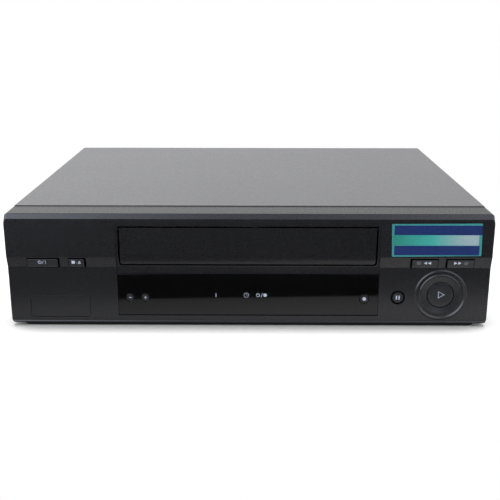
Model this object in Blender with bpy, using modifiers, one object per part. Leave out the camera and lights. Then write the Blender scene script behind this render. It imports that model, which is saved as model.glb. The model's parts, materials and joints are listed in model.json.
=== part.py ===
# VHS video cassette recorder, front loading, as an assembly of separate pieces.
# The front faces -Y, +Z is up, and the origin is on the floor under the middle of the machine.
# Distances "back" are counted from the front face towards the rear.
import math

import bmesh
import bpy
from mathutils import Matrix, Vector

MM = 0.001

# Driving sizes of the whole machine
WIDTH = 400 * MM
HEIGHT = 98 * MM
DEPTH = 332.9 * MM
HALF_WIDTH = WIDTH / 2

# Clearances and overruns shared by all pieces
SEAT_GAP = 0.3 * MM
BUTTON_GAP = 0.35 * MM
RUNNING_GAP = 0.4 * MM
CUT_OVERRUN = 2 * MM
JOIN_OVERLAP = 0.5 * MM

# The sticker on the front is the foremost piece, and the aerial sockets the rearmost
STICKER_THICKNESS = 0.15 * MM
STICKER_PROUD = STICKER_THICKNESS + SEAT_GAP
FACE_Y = -DEPTH / 2 + STICKER_PROUD
REAR_TIP = DEPTH - STICKER_PROUD
STICKER_HEIGHT = 27.2 * MM
STICKER_DROP = 3.2 * MM

# Round stretches
ROUND_SIDES = 24
PIN_SIDES = 12
ARC_STEPS = 4
SHARP_ANGLE = math.radians(40)
MERGE_DISTANCE = 0.01 * MM
FULL_TURN = 2 * math.pi

# Sheet steel cover
COVER_SHEET = 0.8 * MM
COVER_SETBACK = 29.6 * MM
COVER_REAR_GAP = 7.9 * MM
COVER_SIDE_INSET = 1.2 * MM
COVER_BEND = 1.5 * MM
COVER_SKIRT_BOTTOM = 8 * MM

# Front panel outline, seen from the side
PANEL_WALL = 2.5 * MM
LEDGE_DROP = 0.6 * MM
LEDGE_DEPTH = 3 * MM
FACE_DROP = 5 * MM
FACE_BOTTOM = 4.9 * MM
BAND_SETBACK = 2.75 * MM
PANEL_FOOT_RADIUS = 1.4 * MM
PANEL_CORNER_RADIUS = 1 * MM
PANEL_COVER_GAP = 0.6 * MM
PANEL_DEPTH = COVER_SETBACK - PANEL_COVER_GAP
TONGUE_DEPTH = 7 * MM
TONGUE_INSET = 6 * MM
LEDGE_TOP = HEIGHT - LEDGE_DROP
FACE_TOP = HEIGHT - FACE_DROP

# Cassette slot and its flap
SLOT_CENTRE_X = -0.9 * MM
SLOT_WIDTH = 212.1 * MM
SLOT_HEIGHT = 32.9 * MM
SLOT_DROP = 6.5 * MM
SLOT_FRAME = 3 * MM
SLOT_FRAME_DEPTH = 0.8 * MM
DOOR_THICKNESS = 2.2 * MM
DOOR_FACE_BACK = 0.6 * MM
DOOR_PIN_DROP = 1.9 * MM
DOOR_PIN_RADIUS = 0.8 * MM
DOOR_PIN_LENGTH = 4 * MM
DOOR_RIB_DEPTH = 2 * MM
DOOR_RIB_HEIGHT = 4 * MM
DOOR_EAR_WIDTH = 5 * MM
DOOR_EAR_HEIGHT = 6 * MM
BAND_RISE = 8 * MM
BAND_FALL = 1.9 * MM
SLOT_TOP = FACE_TOP - SLOT_DROP
SLOT_BOTTOM = SLOT_TOP - SLOT_HEIGHT
BAND_TOP = SLOT_BOTTOM + BAND_RISE
BAND_BOTTOM = SLOT_BOTTOM - BAND_FALL
DOOR_TOP = SLOT_TOP - BUTTON_GAP
DOOR_BOTTOM = SLOT_BOTTOM + BUTTON_GAP
DOOR_PIVOT_BACK = DOOR_FACE_BACK + DOOR_THICKNESS + DOOR_RIB_DEPTH / 2
DOOR_PIVOT_Z = DOOR_TOP - DOOR_PIN_DROP
DOOR_SWEEP = DOOR_PIVOT_BACK + DOOR_PIVOT_Z - DOOR_BOTTOM

# Display window under the slot
WINDOW_WIDTH = 217.5 * MM
WINDOW_CENTRE_X = -0.6 * MM
WINDOW_THICKNESS = 1.6 * MM
WINDOW_FOOT = 4.5 * MM
WINDOW_RIM = 2 * MM
STRIP_HEIGHT = 6 * MM
STRIP_DEPTH = 0.8 * MM
WINDOW_TOP = BAND_BOTTOM - STRIP_HEIGHT
WINDOW_BOTTOM = FACE_BOTTOM + WINDOW_FOOT
WINDOW_LEFT = WINDOW_CENTRE_X - WINDOW_WIDTH / 2
WINDOW_RIGHT = WINDOW_CENTRE_X + WINDOW_WIDTH / 2

# Display tube behind the window
TUBE_WIDTH = 96 * MM
TUBE_CENTRE_X = 8 * MM
TUBE_MARGIN = 8.1 * MM
TUBE_HEIGHT = WINDOW_TOP - WINDOW_BOTTOM - TUBE_MARGIN * 2
TUBE_DEPTH = 6 * MM

# Fields beside the slot. Across, the pieces of the front keep their shares of a field's width:
# each pair is a start, from the panel's end, and a width.
LEFT_FIELD = HALF_WIDTH + SLOT_CENTRE_X - SLOT_WIDTH / 2
RIGHT_FIELD = HALF_WIDTH - SLOT_CENTRE_X - SLOT_WIDTH / 2
LOWER_FIELD = BAND_BOTTOM - FACE_BOTTOM
LOWER_MIDDLE = FACE_BOTTOM + LOWER_FIELD / 2
WINDOW_MIDDLE = (WINDOW_TOP + WINDOW_BOTTOM) / 2
POWER_SHARES = (0.1795, 0.273)
STOP_SHARES = (0.5481, 0.1386)
BLANK_SHARES = (0.1795, 0.5416)
FORWARD_SHARES = (0.1539, 0.2288)
REWIND_SHARES = (0.4639, 0.2256)
STICKER_SHARES = (0.1044, 0.7717)
PLAY_SHARE = 0.4207
PAUSE_SHARE = 0.796

# Push buttons
BUTTON_TRAVEL = 1 * MM
BUTTON_PROUD = 0.5 * MM
STEM_RADIUS = 1.6 * MM
KEY_HEIGHT = 7.8 * MM
KEY_FOOT = 0.3 * MM
KEY_INNER_GAP = 1.6 * MM
PLAY_DROP = 0.5 * MM
PLAY_X = HALF_WIDTH - RIGHT_FIELD * PLAY_SHARE
PLAY_Z = LOWER_MIDDLE - PLAY_DROP
DISH_EDGE = 2.1 * MM
PLAY_RADIUS_SHARE = 0.512
DISH_DEPTH = 3 * MM
DISH_RADIUS = LOWER_FIELD / 2 - DISH_EDGE
PLAY_RADIUS = DISH_RADIUS * PLAY_RADIUS_SHARE
DISH_FLOOR_RADIUS = PLAY_RADIUS + RUNNING_GAP
PLAY_PROUD = 2.4 * MM
PAUSE_DROP = 2.7 * MM
PAUSE_X = HALF_WIDTH - RIGHT_FIELD * PAUSE_SHARE
PAUSE_Z = LOWER_MIDDLE - PAUSE_DROP
PAUSE_RADIUS = 4.6 * MM
PAUSE_RECESS_RADIUS = 5.8 * MM
PAUSE_RECESS_DEPTH = 0.8 * MM
CHANNEL_DROP = 2.4 * MM
CHANNEL_Z = WINDOW_MIDDLE - CHANNEL_DROP
CHANNEL_RADIUS = 3.2 * MM
CHANNEL_DOWN_INSET = 10 * MM
CHANNEL_UP_INSET = 22.8 * MM
RECORD_DROP = 3.2 * MM
RECORD_Z = WINDOW_MIDDLE - RECORD_DROP
RECORD_RADIUS = 3.6 * MM
RECORD_INSET = 11.6 * MM

# Blanking cap at the lower left
BLANK_BOTTOM = 7.6 * MM
BLANK_HEIGHT = 19.1 * MM
BLANK_THICKNESS = 1.5 * MM
BLANK_GAP = 0.3 * MM
BLANK_CORNER_RADIUS = 2.6 * MM

# Bottom: chassis tub, bottom cover and rubber feet
CHASSIS_SHEET = 0.8 * MM
CHASSIS_SIDE_INSET = 3.6 * MM
CHASSIS_FLOOR_LIFT = 1 * MM
CHASSIS_SIDE_TOP = 52 * MM
BASE_INSET = 9.6 * MM
BASE_BOTTOM = 0.6 * MM
BASE_FRONT = 4.2 * MM
BASE_CORNER = 6 * MM
FOOT_RADIUS = 10 * MM
FOOT_POCKET = 2 * MM
FOOT_SIDE_INSET = 34 * MM
FOOT_END_INSET = 43.8 * MM
BASE_TOP = FACE_BOTTOM - SEAT_GAP
CHASSIS_BOTTOM = FACE_BOTTOM + CHASSIS_FLOOR_LIFT
CHASSIS_FLOOR = CHASSIS_BOTTOM + CHASSIS_SHEET
CHASSIS_HALF = HALF_WIDTH - CHASSIS_SIDE_INSET
COVER_REAR = DEPTH - COVER_REAR_GAP
REAR_SHEET = 1 * MM
REAR_SETBACK = 3 * MM
REAR_BACK = COVER_REAR - REAR_SETBACK
REAR_FACE = REAR_BACK - REAR_SHEET
CHASSIS_REAR = REAR_FACE - SEAT_GAP
CHASSIS_FRONT = PANEL_DEPTH + RUNNING_GAP

# Cover screws
SCREW_HEAD_RADIUS = 3.5 * MM
SCREW_SHANK_RADIUS = 1.4 * MM
SCREW_HOLE_RADIUS = 1.8 * MM
SCREW_LENGTH = 6 * MM
SCREW_Z = 24 * MM
SCREW_FRONT_BACK = 96 * MM
SCREW_REAR_INSET = 36 * MM
SCREW_HEAD_HEIGHT = COVER_SIDE_INSET - SEAT_GAP

# Circuit boards
BOARD = 1.6 * MM
BOARD_Z = 13 * MM
BOARD_EDGE = 8 * MM
BOARD_POST_RADIUS = 3 * MM
POWER_BOARD_FRONT = 120 * MM
MAIN_BOARD_FRONT = 34 * MM
BOARD_REAR_INSET = 8 * MM
KEY_BOARD_BACK = 14 * MM
KEY_BOARD_BOTTOM = 9 * MM
KEY_BOARD_EDGE = 8 * MM
SWITCH_RADIUS = 2.6 * MM
SWITCH_HEIGHT = 1.4 * MM
STEM_BACK = KEY_BOARD_BACK - SWITCH_HEIGHT - BUTTON_TRAVEL - SEAT_GAP
BOARD_TOP = BOARD_Z + BOARD
MAIN_CHIPS = ((46 * MM, 150 * MM, 22 * MM, 10 * MM), (58 * MM, 84 * MM, 18 * MM, 18 * MM),
              (20 * MM, 205 * MM, 12 * MM, 24 * MM))
CHIP_HEIGHT = 3 * MM
BOARD_BOSS_INSET = 11 * MM
BOARD_BOSS_RADIUS = 2.5 * MM
BOARD_BOSS_HEIGHTS = (KEY_BOARD_BOTTOM + BOARD_BOSS_RADIUS, WINDOW_TOP - BOARD_BOSS_RADIUS)

# Tape deck
DECK_SHEET = 1.2 * MM
DECK_TOP = 25.2 * MM
DECK_HALF = 108 * MM
DECK_FRONT = 37 * MM
DECK_REAR = 262 * MM
POWER_BOARD_GAP = 4.4 * MM
POWER_BOARD_EDGE = -DECK_HALF - POWER_BOARD_GAP
POWER_BOARD_WIDTH = POWER_BOARD_EDGE + CHASSIS_HALF - BOARD_EDGE
DECK_POST_RADIUS = 4 * MM
DECK_POST_INSET = 8 * MM
REEL_SPACING = 92 * MM
REEL_BACK = 114 * MM
REEL_RADIUS = 21 * MM
REEL_DISC = 4.6 * MM
REEL_SPINDLE_RADIUS = 5.6 * MM
REEL_SPINDLE = 18 * MM
REEL_RIB = 1.4 * MM
REEL_RIB_COUNT = 3
DRUM_BACK = 207 * MM
DRUM_RADIUS = 31 * MM
DRUM_TILT = math.radians(5.6)
DRUM_LOWER_HEIGHT = 17 * MM
DRUM_UPPER_HEIGHT = 15 * MM
DRUM_SLIT = 0.5 * MM
DRUM_LIFT = 8 * MM
DRUM_FOOT_RADIUS = 24 * MM
DRUM_RECESS_RADIUS = 22 * MM
DRUM_RECESS_DEPTH = 4 * MM
DRUM_HUB_RADIUS = 8 * MM
CAPSTAN_X = 62 * MM
CAPSTAN_BACK = 186 * MM
CAPSTAN_RADIUS = 1.6 * MM
CAPSTAN_TOP = 53 * MM
FLYWHEEL_RADIUS = 23 * MM
FLYWHEEL_HEIGHT = 5 * MM
BEARING_RADIUS = 5 * MM
BEARING_HEIGHT = 8 * MM
PINCH_PIVOT_X = 90 * MM
PINCH_PIVOT_BACK = 202 * MM
PINCH_ARM_LENGTH = 25 * MM
PINCH_REST_ANGLE = math.radians(173)
PINCH_ROLLER_RADIUS = 7 * MM
PINCH_ROLLER_HEIGHT = 13 * MM
PINCH_HUB_RADIUS = 5.5 * MM
PINCH_HUB_HEIGHT = 12 * MM
PINCH_PIN_RADIUS = 1.6 * MM
PINCH_POST_RADIUS = 2 * MM
PINCH_ARM_HEIGHT = 3 * MM
PINCH_ARM_WIDTH = 8 * MM
TENSION_PIVOT_X = -86 * MM
TENSION_PIVOT_BACK = 184 * MM
TENSION_ARM_LENGTH = 22 * MM
TENSION_ARM_ANGLE = math.radians(-12)
TENSION_PIN_HEIGHT = 20 * MM
HEAD_BLOCK_X = 56 * MM
HEAD_BLOCK_BACK = 174.5 * MM
ERASE_HEAD_X = -54 * MM
HEAD_WIDTH = 9 * MM
HEAD_DEPTH = 6 * MM
HEAD_HEIGHT = 22 * MM
HEAD_FOOT = 3 * MM
HEAD_BODY_SHARE = 0.8
GUIDE_X = 41 * MM
GUIDE_BACK = 180 * MM
GUIDE_WIDTH = 12 * MM
GUIDE_BASE_HEIGHT = 4 * MM
GUIDE_POST_RADIUS = 2.2 * MM
GUIDE_POST_HEIGHT = 28 * MM
GUIDE_FLANGE_RADIUS = 3.6 * MM
GUIDE_FLANGE = 1.5 * MM
CAM_MODULE = 1 * MM
CAM_TEETH = 48
PINION_TEETH = 12
CAM_X = -68 * MM
CAM_BACK = 236 * MM
GEAR_HEIGHT = 5 * MM
GEAR_Z = (DECK_TOP + SEAT_GAP, DECK_TOP + SEAT_GAP + GEAR_HEIGHT)
PINION_X = CAM_X - CAM_MODULE * (CAM_TEETH + PINION_TEETH) / 2
CAM_HUB_RADIUS = 6 * MM
CAM_HUB_HEIGHT = 4 * MM
TOOTH_TIP_SHARE = 0.08
TOOTH_ROOT_SHARE = 0.3
TOOTH_TIP_HEIGHT_SHARE = 0.8
TOOTH_ROOT_DEPTH_SHARE = 1.2
LOADING_MOTOR_RADIUS = 11 * MM
LOADING_MOTOR_HEIGHT = 24 * MM
MOTOR_PLATE = 1.5 * MM
MOTOR_LEG_RADIUS = 2 * MM
MOTOR_LEG_SPREAD = 10 * MM
SHAFT_RADIUS = 1.5 * MM

# Cassette carriage
CASSETTE_WIDTH = 188 * MM
CASSETTE_HEIGHT = 25 * MM
CASSETTE_SIDE_PLAY = 1 * MM
CASSETTE_TOP_PLAY = 1 * MM
HOLDER_SHEET = 1 * MM
HOLDER_DOOR_GAP = 1.5 * MM
HOLDER_FRONT = DOOR_SWEEP + HOLDER_DOOR_GAP
HOLDER_LENGTH = 74 * MM
HOLDER_RAIL = 22 * MM
HOLDER_BRIDGE = 40 * MM
HOLDER_PIN_RADIUS = 1.8 * MM
HOLDER_PIN_INSET = 15 * MM
CASSETTE_FLOOR_PLAY = 1 * MM
CASSETTE_BOTTOM = SLOT_BOTTOM + CASSETTE_FLOOR_PLAY
CASSETTE_DECK_ROOM = 10 * MM
CASSETTE_LOADED = DECK_TOP + CASSETTE_DECK_ROOM
LIFT_TRAVEL = CASSETTE_BOTTOM - CASSETTE_LOADED
LOAD_TRAVEL = 60 * MM
SLIDER_SHEET = 1 * MM
SLIDER_LENGTH = 16 * MM
SLIDER_BAR_HEIGHT = 3 * MM
BRACKET_SHEET = 1.2 * MM
BRACKET_FLANGE = 5 * MM
BRACKET_END = 170 * MM
BRACKET_WEB = 6 * MM
HOLDER_HALF = CASSETTE_WIDTH / 2 + CASSETTE_SIDE_PLAY + HOLDER_SHEET
SLIDER_IN = HOLDER_HALF + SEAT_GAP
BRACKET_IN = SLIDER_IN + SLIDER_SHEET + SEAT_GAP
BRACKET_DROP = 1 * MM
BRACKET_TOP = SLOT_TOP - BRACKET_DROP
HOLDER_TOP = CASSETTE_BOTTOM + CASSETTE_HEIGHT + CASSETTE_TOP_PLAY
PIN_Z = CASSETTE_BOTTOM + CASSETTE_HEIGHT / 2
PIN_BACKS = (HOLDER_FRONT + HOLDER_PIN_INSET, HOLDER_FRONT + HOLDER_LENGTH - HOLDER_PIN_INSET)
WINDOW_SLACK = 3 * MM

# Power supply, tuner and rear sockets
TRANSFORMER_EDGE = 16 * MM
TRANSFORMER_SIZE = (POWER_BOARD_WIDTH - TRANSFORMER_EDGE * 2, 38 * MM, 36 * MM)
TRANSFORMER_BACK = 210 * MM
CORE_SHARE = 0.5
COIL_SHARE = 0.8
CAPACITOR_RADIUS = 11 * MM
CAPACITOR_HEIGHT = 30 * MM
CAPACITOR_BACK = 160 * MM
HEAT_SINK_SIZE = (30 * MM, 12 * MM, 40 * MM)
HEAT_SINK_BACK = 135 * MM
HEAT_SINK_FIN = 1.6 * MM
HEAT_SINK_FINS = 5
TUNER_SIZE = (52 * MM, 56 * MM, 26 * MM)
TUNER_INSET = 24 * MM
TUNER_LIFT = 4 * MM
TUNER_X = HALF_WIDTH - TUNER_INSET - TUNER_SIZE[0] / 2
TUNER_Z = BOARD_TOP + TUNER_LIFT + TUNER_SIZE[2] / 2
AERIAL_RADIUS = 4.7 * MM
AERIAL_BORE = 1.2 * MM
AERIAL_SPACING = 26 * MM
SCART_SIZE = (54 * MM, 20 * MM, 16 * MM)
SCART_PROUD = 2 * MM
SCART_CAVITY = (47 * MM, 9 * MM, 10.6 * MM)
SCART_TONGUE = (42 * MM, 4 * MM)
SCART_X = 40 * MM
SCART_STEP = 22 * MM
SCART_Z = BOARD_TOP + SEAT_GAP + SCART_SIZE[2] / 2
JACK_BLOCK_SIZE = (32 * MM, 16 * MM, 30 * MM)
JACK_BLOCK_X = -38 * MM
JACK_Z = BOARD_TOP + SEAT_GAP + JACK_BLOCK_SIZE[2] / 2
JACK_RADIUS = 4.1 * MM
JACK_BORE = 1.6 * MM
JACK_LENGTH = 5.5 * MM
JACK_SPACING = 13 * MM
INLET_SIZE = (30 * MM, 20 * MM, 18 * MM)
INLET_CAVITY = (21 * MM, 13 * MM, 9.5 * MM)
INLET_INSET = 40 * MM
INLET_X = -HALF_WIDTH + INLET_INSET
INLET_Z = BOARD_TOP + SEAT_GAP + INLET_SIZE[2] / 2
INLET_PROUD = 1 * MM
INLET_PIN_RADIUS = 1.2 * MM
INLET_PIN_SPACING = 8.6 * MM
INLET_PIN_LENGTH = 9 * MM


def place(x, back, z):
    """A point from its distance across, its distance behind the front face, and its height."""
    return Vector((x, FACE_Y + back, z))


def clear_scene():
    for old in list(bpy.data.objects):
        bpy.data.objects.remove(old, do_unlink=True)


def new_collection(name):
    collection = bpy.data.collections.new(name)
    bpy.context.scene.collection.children.link(collection)
    return collection


clear_scene()
RECORDER = new_collection("video_cassette_recorder")
CUTTERS = new_collection("cutters")


def material(name, colour, roughness, metallic=0):
    """A Principled material, from an sRGB colour."""
    finish = bpy.data.materials.new(name)
    finish.use_nodes = True
    shader = finish.node_tree.nodes["Principled BSDF"]
    channels = [int(colour[start:start + 2], 16) / 255 for start in (0, 2, 4)]
    linear = [c / 12.92 if c <= 0.04045 else ((c + 0.055) / 1.055) ** 2.4 for c in channels]
    shader.inputs["Base Color"].default_value = (*linear, 1)
    shader.inputs["Roughness"].default_value = roughness
    shader.inputs["Metallic"].default_value = metallic
    return finish


BLACK_ABS = material("black_abs", "28282b", 0.45)
GREY_STEEL = material("painted_steel", "8f8f91", 0.5)
SMOKED_ACRYLIC = material("smoked_acrylic", "0a0a0b", 0.12)
ZINC_STEEL = material("zinc_plated_steel", "a9acab", 0.4, 1)
ALUMINIUM = material("turned_aluminium", "c6c8ca", 0.3, 1)
BOARD_GREEN = material("circuit_board", "2e5a3a", 0.6)
BLACK_RUBBER = material("black_rubber", "1c1c1c", 0.8)
WHITE_ACETAL = material("white_acetal", "d9d6cc", 0.5)
GLASS = material("tube_glass", "3a4444", 0.1)
SILVER_FOIL = material("printed_foil", "3f8f96", 0.35)
BLACK_STEEL = material("black_steel", "202020", 0.5)


def add_object(name, mesh, location=Vector()):
    """Every shape starts among the cutters; finish() moves a named piece to the recorder."""
    item = bpy.data.objects.new(name, mesh)
    item.location = location
    item.hide_render = True
    item.display_type = "WIRE"
    CUTTERS.objects.link(item)
    return item


def shade_round(item):
    item.data.shade_smooth()
    item.data.set_sharp_from_angle(angle=SHARP_ANGLE)


def box(name, x_range, back_range, z_range):
    low = place(x_range[0], back_range[0], z_range[0])
    high = place(x_range[1], back_range[1], z_range[1])
    shape = bmesh.new()
    bmesh.ops.create_cube(shape, size=1)
    bmesh.ops.scale(shape, vec=high - low, verts=shape.verts)
    mesh = bpy.data.meshes.new(name)
    shape.to_mesh(mesh)
    shape.free()
    return add_object(name, mesh, (low + high) / 2)


TURNS = {
    "X": Matrix.Rotation(math.pi / 2, 4, "Y"),
    "Y": Matrix.Rotation(-math.pi / 2, 4, "X"),
    "Z": Matrix.Identity(4),
}


def rod(name, centre, radius, length, axis="Z", sides=PIN_SIDES, end_radius=None):
    """A cylinder about its centre, or a cone that ends in end_radius on the far side of its axis."""
    shape = bmesh.new()
    bmesh.ops.create_cone(shape, cap_ends=True, segments=sides, radius1=radius,
                          radius2=radius if end_radius is None else end_radius,
                          depth=length, matrix=TURNS[axis])
    mesh = bpy.data.meshes.new(name)
    shape.to_mesh(mesh)
    shape.free()
    item = add_object(name, mesh, centre)
    shade_round(item)
    return item


def upright(name, centre, z_range, radius, sides=PIN_SIDES):
    """A vertical rod at (x, back) between two heights."""
    middle = place(centre[0], centre[1], sum(z_range) / 2)
    return rod(name, middle, radius, z_range[1] - z_range[0], "Z", sides)


def lying(name, x, back_range, z, radius, sides=PIN_SIDES, end_radius=None):
    """A rod along the depth of the machine."""
    middle = place(x, sum(back_range) / 2, z)
    return rod(name, middle, radius, back_range[1] - back_range[0], "Y", sides, end_radius)


def turned(name, profile, location, steps=ROUND_SIDES, closed=False):
    """A turned piece: profile points (radius, height) run down its outer side."""
    edges = [(index, index + 1) for index in range(len(profile) - 1)]
    if closed:
        edges.append((len(profile) - 1, 0))
    mesh = bpy.data.meshes.new(name)
    mesh.from_pydata([(radius, 0, height) for radius, height in profile], edges, [])
    item = add_object(name, mesh, location)
    screw = item.modifiers.new("turn", "SCREW")
    screw.steps = steps
    screw.render_steps = steps
    screw.use_merge_vertices = True
    screw.merge_threshold = MERGE_DISTANCE
    screw.use_smooth_shade = True
    return item


PLANES = {
    "X": Matrix(((0, 0, 1, 0), (1, 0, 0, 0), (0, 1, 0, 0), (0, 0, 0, 1))),
    "Y": Matrix(((1, 0, 0, 0), (0, 0, -1, 0), (0, 1, 0, 0), (0, 0, 0, 1))),
    "Z": Matrix.Identity(4),
}


def prism(name, outline, axis, low, high):
    """A flat outline given in the plane across the axis, extruded from low to high along it."""
    curve = bpy.data.curves.new(name, "CURVE")
    curve.dimensions = "2D"
    curve.fill_mode = "BOTH"
    curve.extrude = (high - low) / 2
    spline = curve.splines.new("POLY")
    spline.points.add(len(outline) - 1)
    for point, (across, up) in zip(spline.points, outline):
        point.co = (across, up, 0, 1)
    spline.use_cyclic_u = True
    guide = bpy.data.objects.new(name + "_outline", curve)
    guide.matrix_world = PLANES[axis]
    CUTTERS.objects.link(guide)
    bpy.context.view_layer.update()
    evaluated = guide.evaluated_get(bpy.context.evaluated_depsgraph_get())
    mesh = bpy.data.meshes.new_from_object(evaluated)
    mesh.transform(guide.matrix_world)
    shape = bmesh.new()
    shape.from_mesh(mesh)
    bmesh.ops.remove_doubles(shape, verts=shape.verts, dist=MERGE_DISTANCE)
    bmesh.ops.recalc_face_normals(shape, faces=shape.faces)
    shape.to_mesh(mesh)
    shape.free()
    bpy.data.objects.remove(guide, do_unlink=True)
    middle = {"X": Vector((1, 0, 0)), "Y": Vector((0, 1, 0)), "Z": Vector((0, 0, 1))}[axis]
    return add_object(name, mesh, middle * (low + high) / 2)


def arc(centre, radius, start, end, steps=ARC_STEPS):
    """Points of an arc, angles in degrees."""
    angles = [math.radians(start + (end - start) * step / steps) for step in range(steps + 1)]
    return [(centre[0] + radius * math.cos(a), centre[1] + radius * math.sin(a)) for a in angles]


def rounded_rectangle(x_range, y_range, radius, steps=ARC_STEPS):
    left, right = x_range[0] + radius, x_range[1] - radius
    low, high = y_range[0] + radius, y_range[1] - radius
    return (arc((right, low), radius, -90, 0, steps) + arc((right, high), radius, 0, 90, steps)
            + arc((left, high), radius, 90, 180, steps) + arc((left, low), radius, 180, 270, steps))


def combine(item, others, operation):
    for other in others:
        step = item.modifiers.new(operation.lower(), "BOOLEAN")
        step.operation = operation
        step.solver = "EXACT"
        step.object = other
    return item


def cut(item, *others):
    return combine(item, others, "DIFFERENCE")


def join(item, *others):
    return combine(item, others, "UNION")


def move_origin(item, point):
    """Puts the piece's origin on its joint axis, with the piece where it was."""
    bpy.context.view_layer.update()
    item.data.transform(Matrix.Translation(item.location - point))
    item.location = point
    return item


def finish(item, name, surface, origin=None):
    """Names a piece, gives it its material and puts it in the recorder's collection."""
    item.name = name
    item.data.name = name
    item.data.materials.clear()
    item.data.materials.append(surface)
    if origin is not None:
        move_origin(item, origin)
    CUTTERS.objects.unlink(item)
    RECORDER.objects.link(item)
    item.hide_render = False
    item.display_type = "TEXTURED"
    return item


def both_ways(value):
    return (-value, value)


def around(centre, size):
    """The range of a size centred on a value."""
    return (centre - size / 2, centre + size / 2)


def grown(bounds, gap):
    return (bounds[0] - gap, bounds[1] + gap)


def face_back(height):
    """How far the front panel's outer face lies behind the front plane at a height."""
    if height >= BAND_TOP:
        return 0
    if height <= BAND_BOTTOM:
        return BAND_SETBACK
    return BAND_SETBACK * (BAND_TOP - height) / (BAND_TOP - BAND_BOTTOM)


def panel_profile(inset, depth):
    """Side outline of the front panel's outer face, moved inwards by a wall."""
    ledge = LEDGE_TOP - inset
    front = inset
    lower = BAND_SETBACK + inset
    bottom = FACE_BOTTOM + inset
    radius = PANEL_FOOT_RADIUS
    foot = arc((lower + radius, bottom + radius), radius, 180, 270)
    points = [(depth, ledge), (LEDGE_DEPTH, ledge), (front, FACE_TOP - inset / 2), (front, BAND_TOP),
              (lower, BAND_BOTTOM)] + foot + [(depth, bottom)]
    return [(FACE_Y + back, z) for back, z in points]


def left_field(shares):
    """The left edge and the width of a piece in the field at the left of the slot."""
    return (-HALF_WIDTH + LEFT_FIELD * shares[0], LEFT_FIELD * shares[1])


def right_field(shares):
    """The left edge and the width of a piece in the field at the right of the slot."""
    return (HALF_WIDTH - RIGHT_FIELD * (shares[0] + shares[1]), RIGHT_FIELD * shares[1])


# The keys in the sloping band: left edge and width. The round buttons: middle, radius and front.
KEY_BOTTOM = BAND_BOTTOM - KEY_FOOT
KEYS = {
    "power_button": left_field(POWER_SHARES),
    "stop_eject_button": left_field(STOP_SHARES),
    "rewind_button": right_field(REWIND_SHARES),
    "fast_forward_button": right_field(FORWARD_SHARES),
}
ROUND_BUTTONS = {
    "play_button": (PLAY_X, PLAY_Z, PLAY_RADIUS, BAND_SETBACK + DISH_DEPTH - PLAY_PROUD),
    "pause_button": (PAUSE_X, PAUSE_Z, PAUSE_RADIUS, BAND_SETBACK - BUTTON_PROUD / 2),
    "channel_down_button": (WINDOW_LEFT + CHANNEL_DOWN_INSET, CHANNEL_Z, CHANNEL_RADIUS,
                            BAND_SETBACK - BUTTON_PROUD),
    "channel_up_button": (WINDOW_LEFT + CHANNEL_UP_INSET, CHANNEL_Z, CHANNEL_RADIUS,
                          BAND_SETBACK - BUTTON_PROUD),
    "record_button": (WINDOW_RIGHT - RECORD_INSET, RECORD_Z, RECORD_RADIUS, BAND_SETBACK - BUTTON_PROUD),
}
BUTTON_FLANGE_BACK = BAND_SETBACK + PANEL_WALL + BUTTON_TRAVEL


def key_outline(gap, front_lift):
    """Side outline of a key in the sloping band, or of its hole."""
    bottom, top = KEY_BOTTOM - gap, KEY_BOTTOM + KEY_HEIGHT + gap
    outline = [(face_back(bottom) - front_lift, bottom), (BUTTON_FLANGE_BACK, bottom),
               (BUTTON_FLANGE_BACK, top), (face_back(top) - front_lift, top)]
    return [(FACE_Y + back, z) for back, z in outline]


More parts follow.
